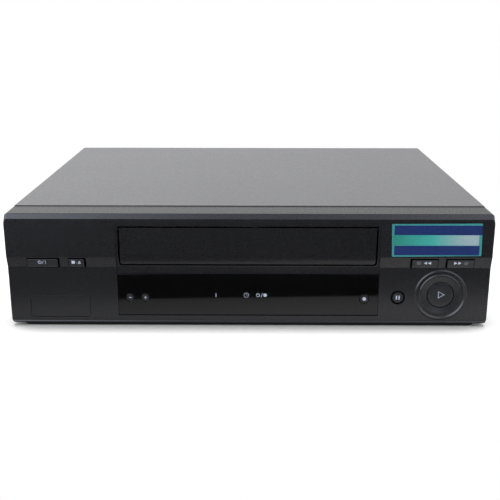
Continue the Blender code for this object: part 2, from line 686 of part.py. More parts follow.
def front_panel():
    shell = prism("panel_shell", panel_profile(0, PANEL_DEPTH), "X", -HALF_WIDTH, HALF_WIDTH)
    inside = panel_profile(PANEL_WALL, PANEL_DEPTH + CUT_OVERRUN)
    cut(shell, prism("panel_inside", inside, "X", -HALF_WIDTH + PANEL_WALL, HALF_WIDTH - PANEL_WALL))
    tongue_half = HALF_WIDTH - TONGUE_INSET
    tongue = box("panel_tongue", both_ways(tongue_half),
                 (PANEL_DEPTH - JOIN_OVERLAP, PANEL_DEPTH + TONGUE_DEPTH),
                 (LEDGE_TOP - PANEL_WALL + JOIN_OVERLAP, HEIGHT - COVER_SHEET - SEAT_GAP))
    dish_backs = (BAND_SETBACK + PANEL_WALL / 2, BAND_SETBACK + DISH_DEPTH + PANEL_WALL)
    dish_wall = lying("dish_wall", PLAY_X, dish_backs, PLAY_Z, DISH_RADIUS + PANEL_WALL / 2, ROUND_SIDES * 2)
    join(shell, tongue, dish_wall)
    for side in (-1, 1):
        ear_x = SLOT_CENTRE_X + side * (SLOT_WIDTH / 2 + DOOR_EAR_WIDTH / 2)
        ear_backs = (PANEL_WALL - JOIN_OVERLAP, DOOR_PIVOT_BACK + DOOR_RIB_DEPTH)
        join(shell, box(f"door_ear_{side}", around(ear_x, DOOR_EAR_WIDTH), ear_backs,
                        around(DOOR_PIVOT_Z, DOOR_EAR_HEIGHT)))
        boss_x = side * (HALF_WIDTH - BOARD_BOSS_INSET)
        boss_backs = (BAND_SETBACK + JOIN_OVERLAP, KEY_BOARD_BACK - SEAT_GAP)
        for z in BOARD_BOSS_HEIGHTS:
            join(shell, lying(f"board_boss_{side}_{z:.4f}", boss_x, boss_backs, z, BOARD_BOSS_RADIUS))
    corner = PANEL_CORNER_RADIUS
    plan = (arc((-HALF_WIDTH + corner, FACE_Y + corner), corner, 180, 270)
            + arc((HALF_WIDTH - corner, FACE_Y + corner), corner, 270, 360)
            + [(HALF_WIDTH, FACE_Y + DEPTH / 2), (-HALF_WIDTH, FACE_Y + DEPTH / 2)])
    combine(shell, [prism("panel_plan", plan, "Z", 0, HEIGHT)], "INTERSECT")
    slot_x = around(SLOT_CENTRE_X, SLOT_WIDTH)
    frame = box("slot_frame", grown(slot_x, SLOT_FRAME), (-CUT_OVERRUN, SLOT_FRAME_DEPTH),
                grown((SLOT_BOTTOM, SLOT_TOP), SLOT_FRAME))
    slot = box("slot_hole", slot_x, (-CUT_OVERRUN, PANEL_DEPTH), (SLOT_BOTTOM, SLOT_TOP))
    strip = box("strip_recess", grown((WINDOW_LEFT, WINDOW_RIGHT), BLANK_GAP),
                (-CUT_OVERRUN, BAND_SETBACK + STRIP_DEPTH), (WINDOW_TOP, BAND_BOTTOM - BUTTON_GAP))
    window_x = (WINDOW_LEFT, WINDOW_RIGHT)
    window_z = (WINDOW_BOTTOM, WINDOW_TOP)
    pocket = box("window_pocket", grown(window_x, BLANK_GAP),
                 (-CUT_OVERRUN, BAND_SETBACK + WINDOW_THICKNESS + SEAT_GAP), grown(window_z, BLANK_GAP))
    hole = box("window_hole", grown(window_x, -WINDOW_RIM), (0, PANEL_DEPTH), grown(window_z, -WINDOW_RIM))
    dish = lying("dish", PLAY_X, (BAND_SETBACK, BAND_SETBACK + DISH_DEPTH), PLAY_Z,
                 DISH_RADIUS, ROUND_SIDES * 2, DISH_FLOOR_RADIUS)
    play_hole = lying("play_hole", PLAY_X, (0, PANEL_DEPTH), PLAY_Z, PLAY_RADIUS + BUTTON_GAP, ROUND_SIDES)
    pause_recess = lying("pause_recess", PAUSE_X, (0, BAND_SETBACK + PAUSE_RECESS_DEPTH), PAUSE_Z,
                         PAUSE_RECESS_RADIUS, ROUND_SIDES)
    pause_hole = lying("pause_hole", PAUSE_X, (0, PANEL_DEPTH), PAUSE_Z, PAUSE_RADIUS + BUTTON_GAP,
                       ROUND_SIDES)
    blank = prism("blank_pocket", blank_outline(0), "Y", FACE_Y,
                  FACE_Y + BAND_SETBACK + BLANK_THICKNESS + SEAT_GAP)
    cut(shell, frame, slot, strip, pocket, hole, dish, play_hole, pause_recess, pause_hole, blank)
    for name, (left, width) in KEYS.items():
        outline = key_outline(BUTTON_GAP, CUT_OVERRUN * 2)
        gaps = (BUTTON_GAP, KEY_INNER_GAP) if left < SLOT_CENTRE_X else (KEY_INNER_GAP, BUTTON_GAP)
        cut(shell, prism(name + "_hole", outline, "X", left - gaps[0], left + width + gaps[1]))
    ear_hole = rod("door_pin_hole", place(SLOT_CENTRE_X, DOOR_PIVOT_BACK, DOOR_PIVOT_Z),
                   DOOR_PIN_RADIUS + SEAT_GAP, SLOT_WIDTH + 2 * DOOR_PIN_LENGTH, "X")
    cut(shell, ear_hole)
    return finish(shell, "front_panel", BLACK_ABS)


def blank_outline(gap):
    """Front outline of the blanking cap, square above and round below."""
    start, width = left_field(BLANK_SHARES)
    left, right = start + gap, start + width - gap
    bottom, top = BLANK_BOTTOM + gap, BLANK_BOTTOM + BLANK_HEIGHT - gap
    radius = BLANK_CORNER_RADIUS
    return (arc((left + radius, bottom + radius), radius, 180, 270)
            + arc((right - radius, bottom + radius), radius, 270, 360) + [(right, top), (left, top)])


def blanking_cap():
    cap = prism("cap", blank_outline(BLANK_GAP), "Y", FACE_Y + BAND_SETBACK,
                FACE_Y + BAND_SETBACK + BLANK_THICKNESS)
    return finish(cap, "blanking_cap", BLACK_ABS)


def front_sticker():
    """A printed label stuck on the right of the front, above the winding keys."""
    left, width = right_field(STICKER_SHARES)
    label = box("label", (left, left + width), (-STICKER_PROUD, -SEAT_GAP),
                (FACE_TOP - STICKER_DROP - STICKER_HEIGHT, FACE_TOP - STICKER_DROP))
    return finish(label, "front_sticker", SILVER_FOIL)


def cassette_door():
    half = SLOT_WIDTH / 2 - BUTTON_GAP
    front, back = DOOR_FACE_BACK, DOOR_FACE_BACK + DOOR_THICKNESS
    lower = face_back(DOOR_BOTTOM)
    outline = [(front, DOOR_TOP), (front, BAND_TOP), (front + lower, DOOR_BOTTOM),
               (back + lower, DOOR_BOTTOM), (back, BAND_TOP), (back, DOOR_TOP)]
    outline = [(FACE_Y + y, z) for y, z in outline]
    door = prism("door_plate", outline, "X", SLOT_CENTRE_X - half, SLOT_CENTRE_X + half)
    pin = rod("door_pins", place(SLOT_CENTRE_X, DOOR_PIVOT_BACK, DOOR_PIVOT_Z), DOOR_PIN_RADIUS,
              SLOT_WIDTH + 2 * DOOR_PIN_LENGTH - 2 * SEAT_GAP, "X")
    rib_backs = (back - JOIN_OVERLAP, back + DOOR_RIB_DEPTH)
    rib = box("door_rib", around(SLOT_CENTRE_X, half * 2 - DOOR_RIB_DEPTH), rib_backs,
              (DOOR_TOP - DOOR_RIB_HEIGHT, DOOR_TOP - JOIN_OVERLAP))
    join(door, rib, pin)
    return finish(door, "cassette_door", BLACK_ABS, place(SLOT_CENTRE_X, DOOR_PIVOT_BACK, DOOR_PIVOT_Z))


def display_window():
    window = box("window", (WINDOW_LEFT, WINDOW_RIGHT), (BAND_SETBACK, BAND_SETBACK + WINDOW_THICKNESS),
                 (WINDOW_BOTTOM, WINDOW_TOP))
    for name in ("channel_down_button", "channel_up_button", "record_button"):
        x, z, radius, front = ROUND_BUTTONS[name]
        cut(window, lying(name + "_window_hole", x, (0, PANEL_DEPTH), z, radius + BUTTON_GAP, ROUND_SIDES))
    return finish(window, "display_window", SMOKED_ACRYLIC)


def key_button(name, left, width):
    """A flat key in the sloping band, on a stem that reaches its switch."""
    key = prism(name, key_outline(0, BUTTON_PROUD), "X", left, left + width)
    middle = left + width / 2
    stem_z = KEY_BOTTOM + KEY_HEIGHT / 2
    join(key, lying(name + "_stem", middle, (BUTTON_FLANGE_BACK - JOIN_OVERLAP, STEM_BACK), stem_z,
                    STEM_RADIUS))
    return finish(key, name, BLACK_ABS, place(middle, 0, stem_z))


def round_button(name, x, z, radius, front):
    button = lying(name, x, (front, BUTTON_FLANGE_BACK), z, radius, ROUND_SIDES)
    join(button, lying(name + "_stem", x, (BUTTON_FLANGE_BACK - JOIN_OVERLAP, STEM_BACK), z, STEM_RADIUS))
    return finish(button, name, BLACK_ABS, place(x, front, z))


def top_cover():
    outer = HALF_WIDTH - COVER_SIDE_INSET
    inner = outer - COVER_SHEET
    top, under, radius = HEIGHT, HEIGHT - COVER_SHEET, COVER_BEND
    outline = ([(-outer, COVER_SKIRT_BOTTOM)] + arc((-outer + radius, top - radius), radius, 180, 90)
               + arc((outer - radius, top - radius), radius, 90, 0)
               + [(outer, COVER_SKIRT_BOTTOM), (inner, COVER_SKIRT_BOTTOM)]
               + arc((outer - radius, top - radius), radius - COVER_SHEET, 0, 90)
               + arc((-outer + radius, top - radius), radius - COVER_SHEET, 90, 180)
               + [(-inner, COVER_SKIRT_BOTTOM)])
    cover = prism("cover", outline, "Y", FACE_Y + COVER_SETBACK, FACE_Y + COVER_REAR)
    for side in (-1, 1):
        for index, back in enumerate(screw_backs()):
            centre = place(side * outer, back, SCREW_Z)
            cut(cover, rod(f"cover_hole_{side}_{index}", centre, SCREW_HOLE_RADIUS, COVER_SHEET * 4, "X"))
    return finish(cover, "top_cover", GREY_STEEL)


def screw_backs():
    return (SCREW_FRONT_BACK, COVER_REAR - SCREW_REAR_INSET)


def cover_screws():
    """A pan-head screw on each side, front and rear, through the cover into the chassis."""
    for side, side_name in ((-1, "left"), (1, "right")):
        for back, end_name in zip(screw_backs(), ("front", "rear")):
            name = f"cover_screw_{side_name}_{end_name}"
            seat = side * (HALF_WIDTH - COVER_SIDE_INSET + SEAT_GAP)
            head_centre = seat + side * SCREW_HEAD_HEIGHT / 2
            head = rod(name, place(head_centre, back, SCREW_Z), SCREW_HEAD_RADIUS, SCREW_HEAD_HEIGHT, "X")
            shank_centre = seat - side * (SCREW_LENGTH / 2 - JOIN_OVERLAP / 2)
            join(head, rod(name + "_shank", place(shank_centre, back, SCREW_Z), SCREW_SHANK_RADIUS,
                           SCREW_LENGTH + JOIN_OVERLAP, "X"))
            finish(head, name, BLACK_STEEL)


def deck_post_places():
    inner = DECK_HALF - DECK_POST_INSET
    rows = (DECK_FRONT + DECK_POST_INSET, DECK_REAR - DECK_POST_INSET)
    return [(side * inner, back) for side in (-1, 1) for back in rows]


def board_post_places():
    main_left = POWER_BOARD_EDGE + BOARD_EDGE * 6
    right = CHASSIS_HALF - BOARD_EDGE * 2
    rear = CHASSIS_REAR - BOARD_REAR_INSET * 2
    left = -CHASSIS_HALF + BOARD_EDGE * 2
    return [(main_left, rear), (right, rear), (right, MAIN_BOARD_FRONT + BOARD_EDGE),
            (main_left, MAIN_BOARD_FRONT + BOARD_EDGE), (left, rear), (left, POWER_BOARD_FRONT + BOARD_EDGE)]


def bottom_chassis():
    floor = box("chassis_floor", both_ways(CHASSIS_HALF), (CHASSIS_FRONT, CHASSIS_REAR),
                (CHASSIS_BOTTOM, CHASSIS_FLOOR))
    for side in (-1, 1):
        wall_x = sorted((side * CHASSIS_HALF, side * (CHASSIS_HALF - CHASSIS_SHEET)))
        join(floor, box(f"chassis_wall_{side}", wall_x, (CHASSIS_FRONT, CHASSIS_REAR),
                        (CHASSIS_BOTTOM, CHASSIS_SIDE_TOP)))
    post_start = CHASSIS_FLOOR - JOIN_OVERLAP
    for index, spot in enumerate(deck_post_places()):
        join(floor, upright(f"deck_post_{index}", spot, (post_start, DECK_TOP - DECK_SHEET - SEAT_GAP),
                            DECK_POST_RADIUS))
    for index, spot in enumerate(board_post_places()):
        join(floor, upright(f"board_post_{index}", spot, (post_start, BOARD_Z - SEAT_GAP), BOARD_POST_RADIUS))
    for side in (-1, 1):
        for index, back in enumerate(screw_backs()):
            centre = place(side * CHASSIS_HALF, back, SCREW_Z)
            cut(floor, rod(f"chassis_hole_{side}_{index}", centre, SCREW_HOLE_RADIUS, CHASSIS_SHEET * 4, "X"))
    return finish(floor, "bottom_chassis", ZINC_STEEL)


def foot_places():
    half = HALF_WIDTH - BASE_INSET - FOOT_SIDE_INSET
    rows = (("front", BASE_FRONT + FOOT_END_INSET), ("rear", CHASSIS_REAR - FOOT_END_INSET))
    sides = (("left", -half), ("right", half))
    return {f"foot_{row}_{side}": (x, back) for row, back in rows for side, x in sides}


def bottom_cover():
    half = HALF_WIDTH - BASE_INSET
    outline = rounded_rectangle(both_ways(half), (FACE_Y + BASE_FRONT, FACE_Y + CHASSIS_REAR), BASE_CORNER)
    base = prism("base", outline, "Z", BASE_BOTTOM, BASE_TOP)
    for name, spot in foot_places().items():
        cut(base, upright(name + "_pocket", spot, (0, BASE_BOTTOM + FOOT_POCKET), FOOT_RADIUS + SEAT_GAP,
                          ROUND_SIDES))
    return finish(base, "bottom_cover", BLACK_ABS)


def feet():
    for name, spot in foot_places().items():
        foot = upright(name, spot, (0, BASE_BOTTOM + FOOT_POCKET - SEAT_GAP), FOOT_RADIUS, ROUND_SIDES)
        finish(foot, name, BLACK_RUBBER)


def hole_through_rear(name, x, z, size):
    """A rectangular hole in the rear panel for a socket of a given width and height."""
    return box(name, grown(around(x, size[0]), SEAT_GAP), (REAR_BACK - CUT_OVERRUN, REAR_BACK + CUT_OVERRUN),
               grown(around(z, size[1]), SEAT_GAP))


def scart_places():
    return (("scart_socket_lower", SCART_Z), ("scart_socket_upper", SCART_Z + SCART_STEP))


def rear_panel():
    sheet = box("rear_sheet", both_ways(CHASSIS_HALF - RUNNING_GAP), (REAR_FACE, REAR_BACK),
                (CHASSIS_BOTTOM, HEIGHT - COVER_SHEET - SEAT_GAP * 2))
    for name, z in scart_places():
        cut(sheet, hole_through_rear(name + "_opening", SCART_X, z, (SCART_SIZE[0], SCART_SIZE[2])))
    cut(sheet,
        hole_through_rear("jack_opening", JACK_BLOCK_X, JACK_Z, (JACK_BLOCK_SIZE[0], JACK_BLOCK_SIZE[2])))
    cut(sheet, hole_through_rear("inlet_opening", INLET_X, INLET_Z, (INLET_SIZE[0], INLET_SIZE[2])))
    for index, x in enumerate(around(TUNER_X, AERIAL_SPACING)):
        backs = (REAR_FACE - CUT_OVERRUN, REAR_BACK + CUT_OVERRUN)
        cut(sheet, lying(f"aerial_hole_{index}", x, backs, TUNER_Z, AERIAL_RADIUS + SEAT_GAP, ROUND_SIDES))
    return finish(sheet, "rear_panel", BLACK_STEEL)


def scart_sockets():
    for name, z in scart_places():
        rear = REAR_BACK + SCART_PROUD
        body = box(name, around(SCART_X, SCART_SIZE[0]), (rear - SCART_SIZE[1], rear),
                   around(z, SCART_SIZE[2]))
        cavity = box(name + "_cavity", around(SCART_X, SCART_CAVITY[0]),
                     (rear - SCART_CAVITY[1], rear + CUT_OVERRUN), around(z, SCART_CAVITY[2]))
        tongue = box(name + "_tongue", around(SCART_X, SCART_TONGUE[0]),
                     (rear - SCART_CAVITY[1] - JOIN_OVERLAP, rear - JOIN_OVERLAP), around(z, SCART_TONGUE[1]))
        finish(join(cut(body, cavity), tongue), name, BLACK_ABS)


def audio_video_jacks():
    rear = REAR_BACK + SCART_PROUD
    block = box("jacks", around(JACK_BLOCK_X, JACK_BLOCK_SIZE[0]), (rear - JACK_BLOCK_SIZE[1], rear),
                around(JACK_Z, JACK_BLOCK_SIZE[2]))
    spots = [(x, z) for x in around(JACK_BLOCK_X, JACK_SPACING) for z in around(JACK_Z, JACK_SPACING)]
    for index, (x, z) in enumerate(spots):
        join(block, lying(f"jack_{index}", x, (rear - JOIN_OVERLAP, rear + JACK_LENGTH - CUT_OVERRUN), z,
                          JACK_RADIUS, PIN_SIDES))
    for index, (x, z) in enumerate(spots):
        cut(block,
            lying(f"jack_bore_{index}", x, (rear - JACK_LENGTH, rear + JACK_LENGTH), z, JACK_BORE, PIN_SIDES))
    return finish(block, "audio_jack_block", BLACK_ABS)


def mains_inlet():
    rear = REAR_BACK + INLET_PROUD
    body = box("inlet", around(INLET_X, INLET_SIZE[0]), (rear - INLET_SIZE[1], rear),
               around(INLET_Z, INLET_SIZE[2]))
    outline = rounded_rectangle(around(INLET_X, INLET_CAVITY[0]), around(INLET_Z, INLET_CAVITY[2]),
                                INLET_CAVITY[2] / 2 - MERGE_DISTANCE)
    cavity = prism("inlet_cavity", outline, "Y", FACE_Y + rear - INLET_CAVITY[1], FACE_Y + rear + CUT_OVERRUN)
    cut(body, cavity)
    for index, x in enumerate(around(INLET_X, INLET_PIN_SPACING)):
        start = rear - INLET_CAVITY[1] - JOIN_OVERLAP
        join(body,
             lying(f"inlet_pin_{index}", x, (start, start + INLET_PIN_LENGTH), INLET_Z, INLET_PIN_RADIUS))
    return finish(body, "mains_inlet", BLACK_ABS)


def tuner():
    rear = REAR_FACE - SEAT_GAP
    can = box("tuner", around(TUNER_X, TUNER_SIZE[0]), (rear - TUNER_SIZE[1], rear),
              around(TUNER_Z, TUNER_SIZE[2]))
    for index, x in enumerate(around(TUNER_X, AERIAL_SPACING)):
        join(can,
             lying(f"aerial_{index}", x, (rear - JOIN_OVERLAP, REAR_TIP), TUNER_Z, AERIAL_RADIUS, PIN_SIDES))
        cut(can,
            lying(f"aerial_bore_{index}", x, (REAR_BACK, REAR_TIP + CUT_OVERRUN), TUNER_Z, AERIAL_BORE,
                  PIN_SIDES))
    for side in (-1, 1):
        leg_x = TUNER_X + side * (TUNER_SIZE[0] / 2 - COVER_SHEET)
        leg = box(f"tuner_leg_{side}", around(leg_x, COVER_SHEET * 2), (rear - TUNER_SIZE[1], rear),
                  (BOARD_TOP + SEAT_GAP, TUNER_Z))
        join(can, leg)
    return finish(can, "tuner_can", ZINC_STEEL)


def board_holes(board, spots, radius):
    for index, spot in enumerate(spots):
        cut(board, upright(f"{board.name}_hole_{index}", spot, (0, DECK_TOP), radius))


def main_board():
    right = CHASSIS_HALF - BOARD_EDGE
    left = POWER_BOARD_EDGE + BOARD_EDGE / 2
    back_range = (MAIN_BOARD_FRONT, CHASSIS_REAR - BOARD_REAR_INSET)
    board = box("main", (left, right), back_range, (BOARD_Z, BOARD_TOP))
    for index, (inset, back, width, length) in enumerate(MAIN_CHIPS):
        join(board, box(f"chip_{index}", around(right - inset, width), around(back, length),
                        (BOARD_TOP - JOIN_OVERLAP, BOARD_TOP + CHIP_HEIGHT)))
    board_holes(board, deck_post_places(), DECK_POST_RADIUS + SEAT_GAP)
    return finish(board, "main_board", BOARD_GREEN)


def power_supply():
    left = -CHASSIS_HALF + BOARD_EDGE
    board = box("power", (left, POWER_BOARD_EDGE), (POWER_BOARD_FRONT, CHASSIS_REAR - BOARD_REAR_INSET),
                (BOARD_Z, BOARD_TOP))
    finish(board, "power_board", BOARD_GREEN)
    middle = (left + POWER_BOARD_EDGE) / 2
    width, depth, height = TRANSFORMER_SIZE
    base = BOARD_TOP + SEAT_GAP
    core_z = (base + height * (1 - CORE_SHARE) / 2, base + height * (1 + CORE_SHARE) / 2)
    core = box("core", around(middle, width), around(TRANSFORMER_BACK, depth), core_z)
    coil = box("coil", around(middle, width * CORE_SHARE), around(TRANSFORMER_BACK, depth * COIL_SHARE),
               (base, base + height))
    finish(join(core, coil), "mains_transformer", BLACK_STEEL)
    can = upright("can", (middle, CAPACITOR_BACK), (base, base + CAPACITOR_HEIGHT), CAPACITOR_RADIUS,
                  ROUND_SIDES)
    finish(can, "mains_capacitor", BLACK_ABS)
    sink_width, sink_depth, sink_height = HEAT_SINK_SIZE
    wall = box("sink", around(middle, sink_width), around(HEAT_SINK_BACK, HEAT_SINK_FIN),
               (base, base + sink_height))
    pitch = (sink_width - HEAT_SINK_FIN * 2) / (HEAT_SINK_FINS - 1)
    for index in range(HEAT_SINK_FINS):
        x = middle - sink_width / 2 + HEAT_SINK_FIN + pitch * index
        fin = box(f"fin_{index}", around(x, HEAT_SINK_FIN), (HEAT_SINK_BACK, HEAT_SINK_BACK + sink_depth / 2),
                  (base + JOIN_OVERLAP, base + sink_height - JOIN_OVERLAP))
        join(wall, fin)
    finish(wall, "heat_sink", ALUMINIUM)


def key_board():
    """The upright board behind the front panel, with a switch behind each button."""
    half = HALF_WIDTH - KEY_BOARD_EDGE
    backs = (KEY_BOARD_BACK, KEY_BOARD_BACK + BOARD)
    board = box("keys", both_ways(half), backs, (KEY_BOARD_BOTTOM, WINDOW_TOP))
    ear_inner = SLOT_WIDTH / 2 + DOOR_PIN_LENGTH + SLOT_FRAME * 2
    for side in (-1, 1):
        ear = box(f"key_board_ear_{side}", sorted((side * ear_inner, side * half)), backs,
                  (WINDOW_TOP - JOIN_OVERLAP, BAND_TOP))
        join(board, ear)
    spots = [(x, z) for x, z, radius, front in ROUND_BUTTONS.values()]
    spots += [(left + width / 2, KEY_BOTTOM + KEY_HEIGHT / 2) for left, width in KEYS.values()]
    for index, (x, z) in enumerate(spots):
        join(board,
             lying(f"switch_{index}", x, (KEY_BOARD_BACK - SWITCH_HEIGHT, KEY_BOARD_BACK + JOIN_OVERLAP), z,
                          SWITCH_RADIUS))
    return finish(board, "key_board", BOARD_GREEN)


def display_tube():
    back_face = KEY_BOARD_BACK - SEAT_GAP
    tube = box("tube", around(TUBE_CENTRE_X, TUBE_WIDTH), (back_face - TUBE_DEPTH, back_face),
               around((WINDOW_TOP + WINDOW_BOTTOM) / 2, TUBE_HEIGHT))
    return finish(tube, "display_tube", GLASS)


def deck_plate():
    plate = box("deck", both_ways(DECK_HALF), (DECK_FRONT, DECK_REAR), (DECK_TOP - DECK_SHEET, DECK_TOP))
    pinch_post = upright("pinch_post", (PINCH_PIVOT_X, PINCH_PIVOT_BACK),
                         (DECK_TOP - JOIN_OVERLAP,
                          DECK_TOP + PINCH_HUB_HEIGHT + CUT_OVERRUN), PINCH_POST_RADIUS)
    tension_post = upright("tension_post", (TENSION_PIVOT_X, TENSION_PIVOT_BACK),
                           (DECK_TOP - JOIN_OVERLAP, DECK_TOP + PINCH_HUB_HEIGHT), PINCH_POST_RADIUS)
    cam_post = upright("cam_post", (CAM_X, CAM_BACK),
                       (DECK_TOP - JOIN_OVERLAP, DECK_TOP + GEAR_HEIGHT + CAM_HUB_HEIGHT + CUT_OVERRUN),
                       PINCH_POST_RADIUS)
    join(plate, pinch_post, tension_post, cam_post)
    for side in (-1, 1):
        post = upright(f"reel_post_{side}", (side * REEL_SPACING / 2, REEL_BACK),
                       (DECK_TOP - JOIN_OVERLAP, DECK_TOP + REEL_SPINDLE / 2), SHAFT_RADIUS)
        join(plate, post)
    cut(plate, upright("capstan_hole", (CAPSTAN_X, CAPSTAN_BACK), (0, HEIGHT), CAPSTAN_RADIUS + RUNNING_GAP))
    return finish(plate, "deck_plate", ZINC_STEEL)


def reel(name, x):
    """A reel table: a driven disc with a ribbed spindle that carries the cassette's reel hub."""
    base = DECK_TOP + SEAT_GAP
    bore = SHAFT_RADIUS + RUNNING_GAP
    top = REEL_SPINDLE
    chamfer = REEL_RIB
    profile = [(bore, top), (REEL_SPINDLE_RADIUS - chamfer, top), (REEL_SPINDLE_RADIUS, top - chamfer * 2),
               (REEL_SPINDLE_RADIUS, REEL_DISC), (REEL_RADIUS, REEL_DISC), (REEL_RADIUS, 0), (bore, 0)]
    table = turned(name, profile, place(x, REEL_BACK, base), closed=True)
    for index in range(REEL_RIB_COUNT):
        angle = FULL_TURN * index / REEL_RIB_COUNT
        rib = box(f"{name}_rib_{index}", around(x, REEL_RIB), around(REEL_BACK, REEL_RIB),
                  (base + REEL_DISC - JOIN_OVERLAP, base + top - chamfer * 2))
        radius = REEL_SPINDLE_RADIUS
        rib.location += Vector((radius * math.cos(angle), radius * math.sin(angle), 0))
        rib.rotation_euler = (0, 0, angle)
        join(table, rib)
    return finish(table, name, WHITE_ACETAL)


def drum_point(along):
    """A point on the tilted drum axis, measured up from the middle of the lower drum's foot."""
    foot = place(0, DRUM_BACK, DECK_TOP + DRUM_LIFT)
    return foot + Vector((0, math.sin(DRUM_TILT), math.cos(DRUM_TILT))) * along


def tilt(item):
    item.rotation_euler = (-DRUM_TILT, 0, 0)
    return item


def video_drum():
    """The head drum leans back: its foot, the fixed lower half and the spinning upper half."""
    foot = upright("foot", (0, DRUM_BACK), (DECK_TOP + SEAT_GAP, DECK_TOP + DRUM_LIFT * 2), DRUM_FOOT_RADIUS,
                   ROUND_SIDES)
    room = rod("foot_room", drum_point(DRUM_LIFT * 2 - SEAT_GAP), DRUM_RADIUS * 2, DRUM_LIFT * 4)
    cut(foot, tilt(room))
    finish(foot, "drum_base", ALUMINIUM)
    lower = rod("lower", drum_point(DRUM_LOWER_HEIGHT / 2), DRUM_RADIUS, DRUM_LOWER_HEIGHT, "Z",
                ROUND_SIDES * 2)
    finish(tilt(lower), "lower_drum", ALUMINIUM)
    rim, height = DRUM_RADIUS, DRUM_UPPER_HEIGHT
    floor = height - DRUM_RECESS_DEPTH
    profile = [(0, height), (DRUM_HUB_RADIUS, height), (DRUM_HUB_RADIUS, floor), (DRUM_RECESS_RADIUS, floor),
               (DRUM_RECESS_RADIUS, height), (rim, height), (rim, 0), (0, 0)]
    upper = turned("upper", profile, drum_point(DRUM_LOWER_HEIGHT + DRUM_SLIT), ROUND_SIDES * 2)
    finish(tilt(upper), "upper_drum", ALUMINIUM)


def capstan():
    flywheel_top = DECK_TOP - DECK_SHEET - SEAT_GAP * 2
    bottom = flywheel_top - FLYWHEEL_HEIGHT
    rim = FLYWHEEL_RADIUS
    profile = [(0, CAPSTAN_TOP), (CAPSTAN_RADIUS, CAPSTAN_TOP), (CAPSTAN_RADIUS, flywheel_top),
               (rim, flywheel_top), (rim, bottom), (0, bottom)]
    finish(turned("capstan_profile", profile, place(CAPSTAN_X, CAPSTAN_BACK, 0)), "capstan", ZINC_STEEL)
    bore = CAPSTAN_RADIUS + RUNNING_GAP
    sleeve = [(bore, BEARING_HEIGHT), (BEARING_RADIUS, BEARING_HEIGHT), (BEARING_RADIUS, 0), (bore, 0)]
    bearing = turned("sleeve", sleeve, place(CAPSTAN_X, CAPSTAN_BACK, DECK_TOP + SEAT_GAP), closed=True)
    finish(bearing, "capstan_bearing", ALUMINIUM)


def swing_arm(name, pivot, angle, length, pin_top):
    """A lever on a deck post: its hub, its bar and the pin at its far end."""
    x, back = pivot
    base = DECK_TOP + SEAT_GAP
    hub = upright(name, pivot, (base, base + PINCH_HUB_HEIGHT), PINCH_HUB_RADIUS, ROUND_SIDES)
    bar_z = (base + PINCH_HUB_HEIGHT - PINCH_ARM_HEIGHT, base + PINCH_HUB_HEIGHT)
    end = (x + length * math.cos(angle), back + length * math.sin(angle))
    bar = box(name + "_bar", (-length, 0), around(0, PINCH_ARM_WIDTH), bar_z)
    bar.location = place((x + end[0]) / 2, (back + end[1]) / 2, sum(bar_z) / 2)
    bar.rotation_euler = (0, 0, angle)
    tip = upright(name + "_tip", end, bar_z, PINCH_ARM_WIDTH / 2, ROUND_SIDES)
    pin = upright(name + "_pin", end, (bar_z[0] + PINCH_ARM_HEIGHT / 2, pin_top), PINCH_PIN_RADIUS)
    join(hub, bar, tip, pin)
    cut(hub, upright(name + "_bore", pivot, (0, HEIGHT), PINCH_POST_RADIUS + RUNNING_GAP))
    return finish(hub, name, ZINC_STEEL, place(x, back, base)), end


def pinch_roller_and_arms():
    roller_bottom = DECK_TOP + PINCH_HUB_HEIGHT + SEAT_GAP * 2
    roller_top = roller_bottom + PINCH_ROLLER_HEIGHT
    arm, end = swing_arm("pinch_arm", (PINCH_PIVOT_X, PINCH_PIVOT_BACK), PINCH_REST_ANGLE, PINCH_ARM_LENGTH,
                         roller_top + SEAT_GAP)
    bore = PINCH_PIN_RADIUS + RUNNING_GAP
    profile = [(bore, PINCH_ROLLER_HEIGHT), (PINCH_ROLLER_RADIUS, PINCH_ROLLER_HEIGHT),
               (PINCH_ROLLER_RADIUS, 0),
               (bore, 0)]
    roller = turned("roller", profile, place(end[0], end[1], roller_bottom), closed=True)
    finish(roller, "pinch_roller", BLACK_RUBBER)
    swing_arm("tension_arm", (TENSION_PIVOT_X, TENSION_PIVOT_BACK), TENSION_ARM_ANGLE, TENSION_ARM_LENGTH,
              DECK_TOP + PINCH_HUB_HEIGHT + TENSION_PIN_HEIGHT)


def tape_head(name, x):
    base = DECK_TOP + SEAT_GAP
    foot = box(name, around(x, HEAD_WIDTH), around(HEAD_BLOCK_BACK, HEAD_DEPTH), (base, base + HEAD_FOOT))
    body = box(name + "_body", around(x, HEAD_WIDTH * HEAD_BODY_SHARE),
               around(HEAD_BLOCK_BACK, HEAD_DEPTH * HEAD_BODY_SHARE),
               (base + HEAD_FOOT - JOIN_OVERLAP, base + HEAD_HEIGHT))
    return finish(join(foot, body), name, ZINC_STEEL)


def tape_guide(name, side):
    """A guide roller post on its carriage, which runs back beside the drum to wrap the tape."""
    base = DECK_TOP + SEAT_GAP
    x = side * GUIDE_X
    carriage = box(name, around(x, GUIDE_WIDTH), around(GUIDE_BACK, GUIDE_WIDTH),
                   (base, base + GUIDE_BASE_HEIGHT))
    foot, top = base + GUIDE_BASE_HEIGHT, base + GUIDE_BASE_HEIGHT + GUIDE_POST_HEIGHT
    post = upright(name + "_post", (x, GUIDE_BACK), (foot - JOIN_OVERLAP, top), GUIDE_POST_RADIUS)
    low_flange = upright(name + "_low_flange", (x, GUIDE_BACK),
                         (foot + GUIDE_FLANGE, foot + GUIDE_FLANGE * 2),
                         GUIDE_FLANGE_RADIUS)
    high_flange = upright(name + "_high_flange", (x, GUIDE_BACK), (top - GUIDE_FLANGE, top),
                          GUIDE_FLANGE_RADIUS)
    join(carriage, post, low_flange, high_flange)
    return finish(carriage, name, ZINC_STEEL)


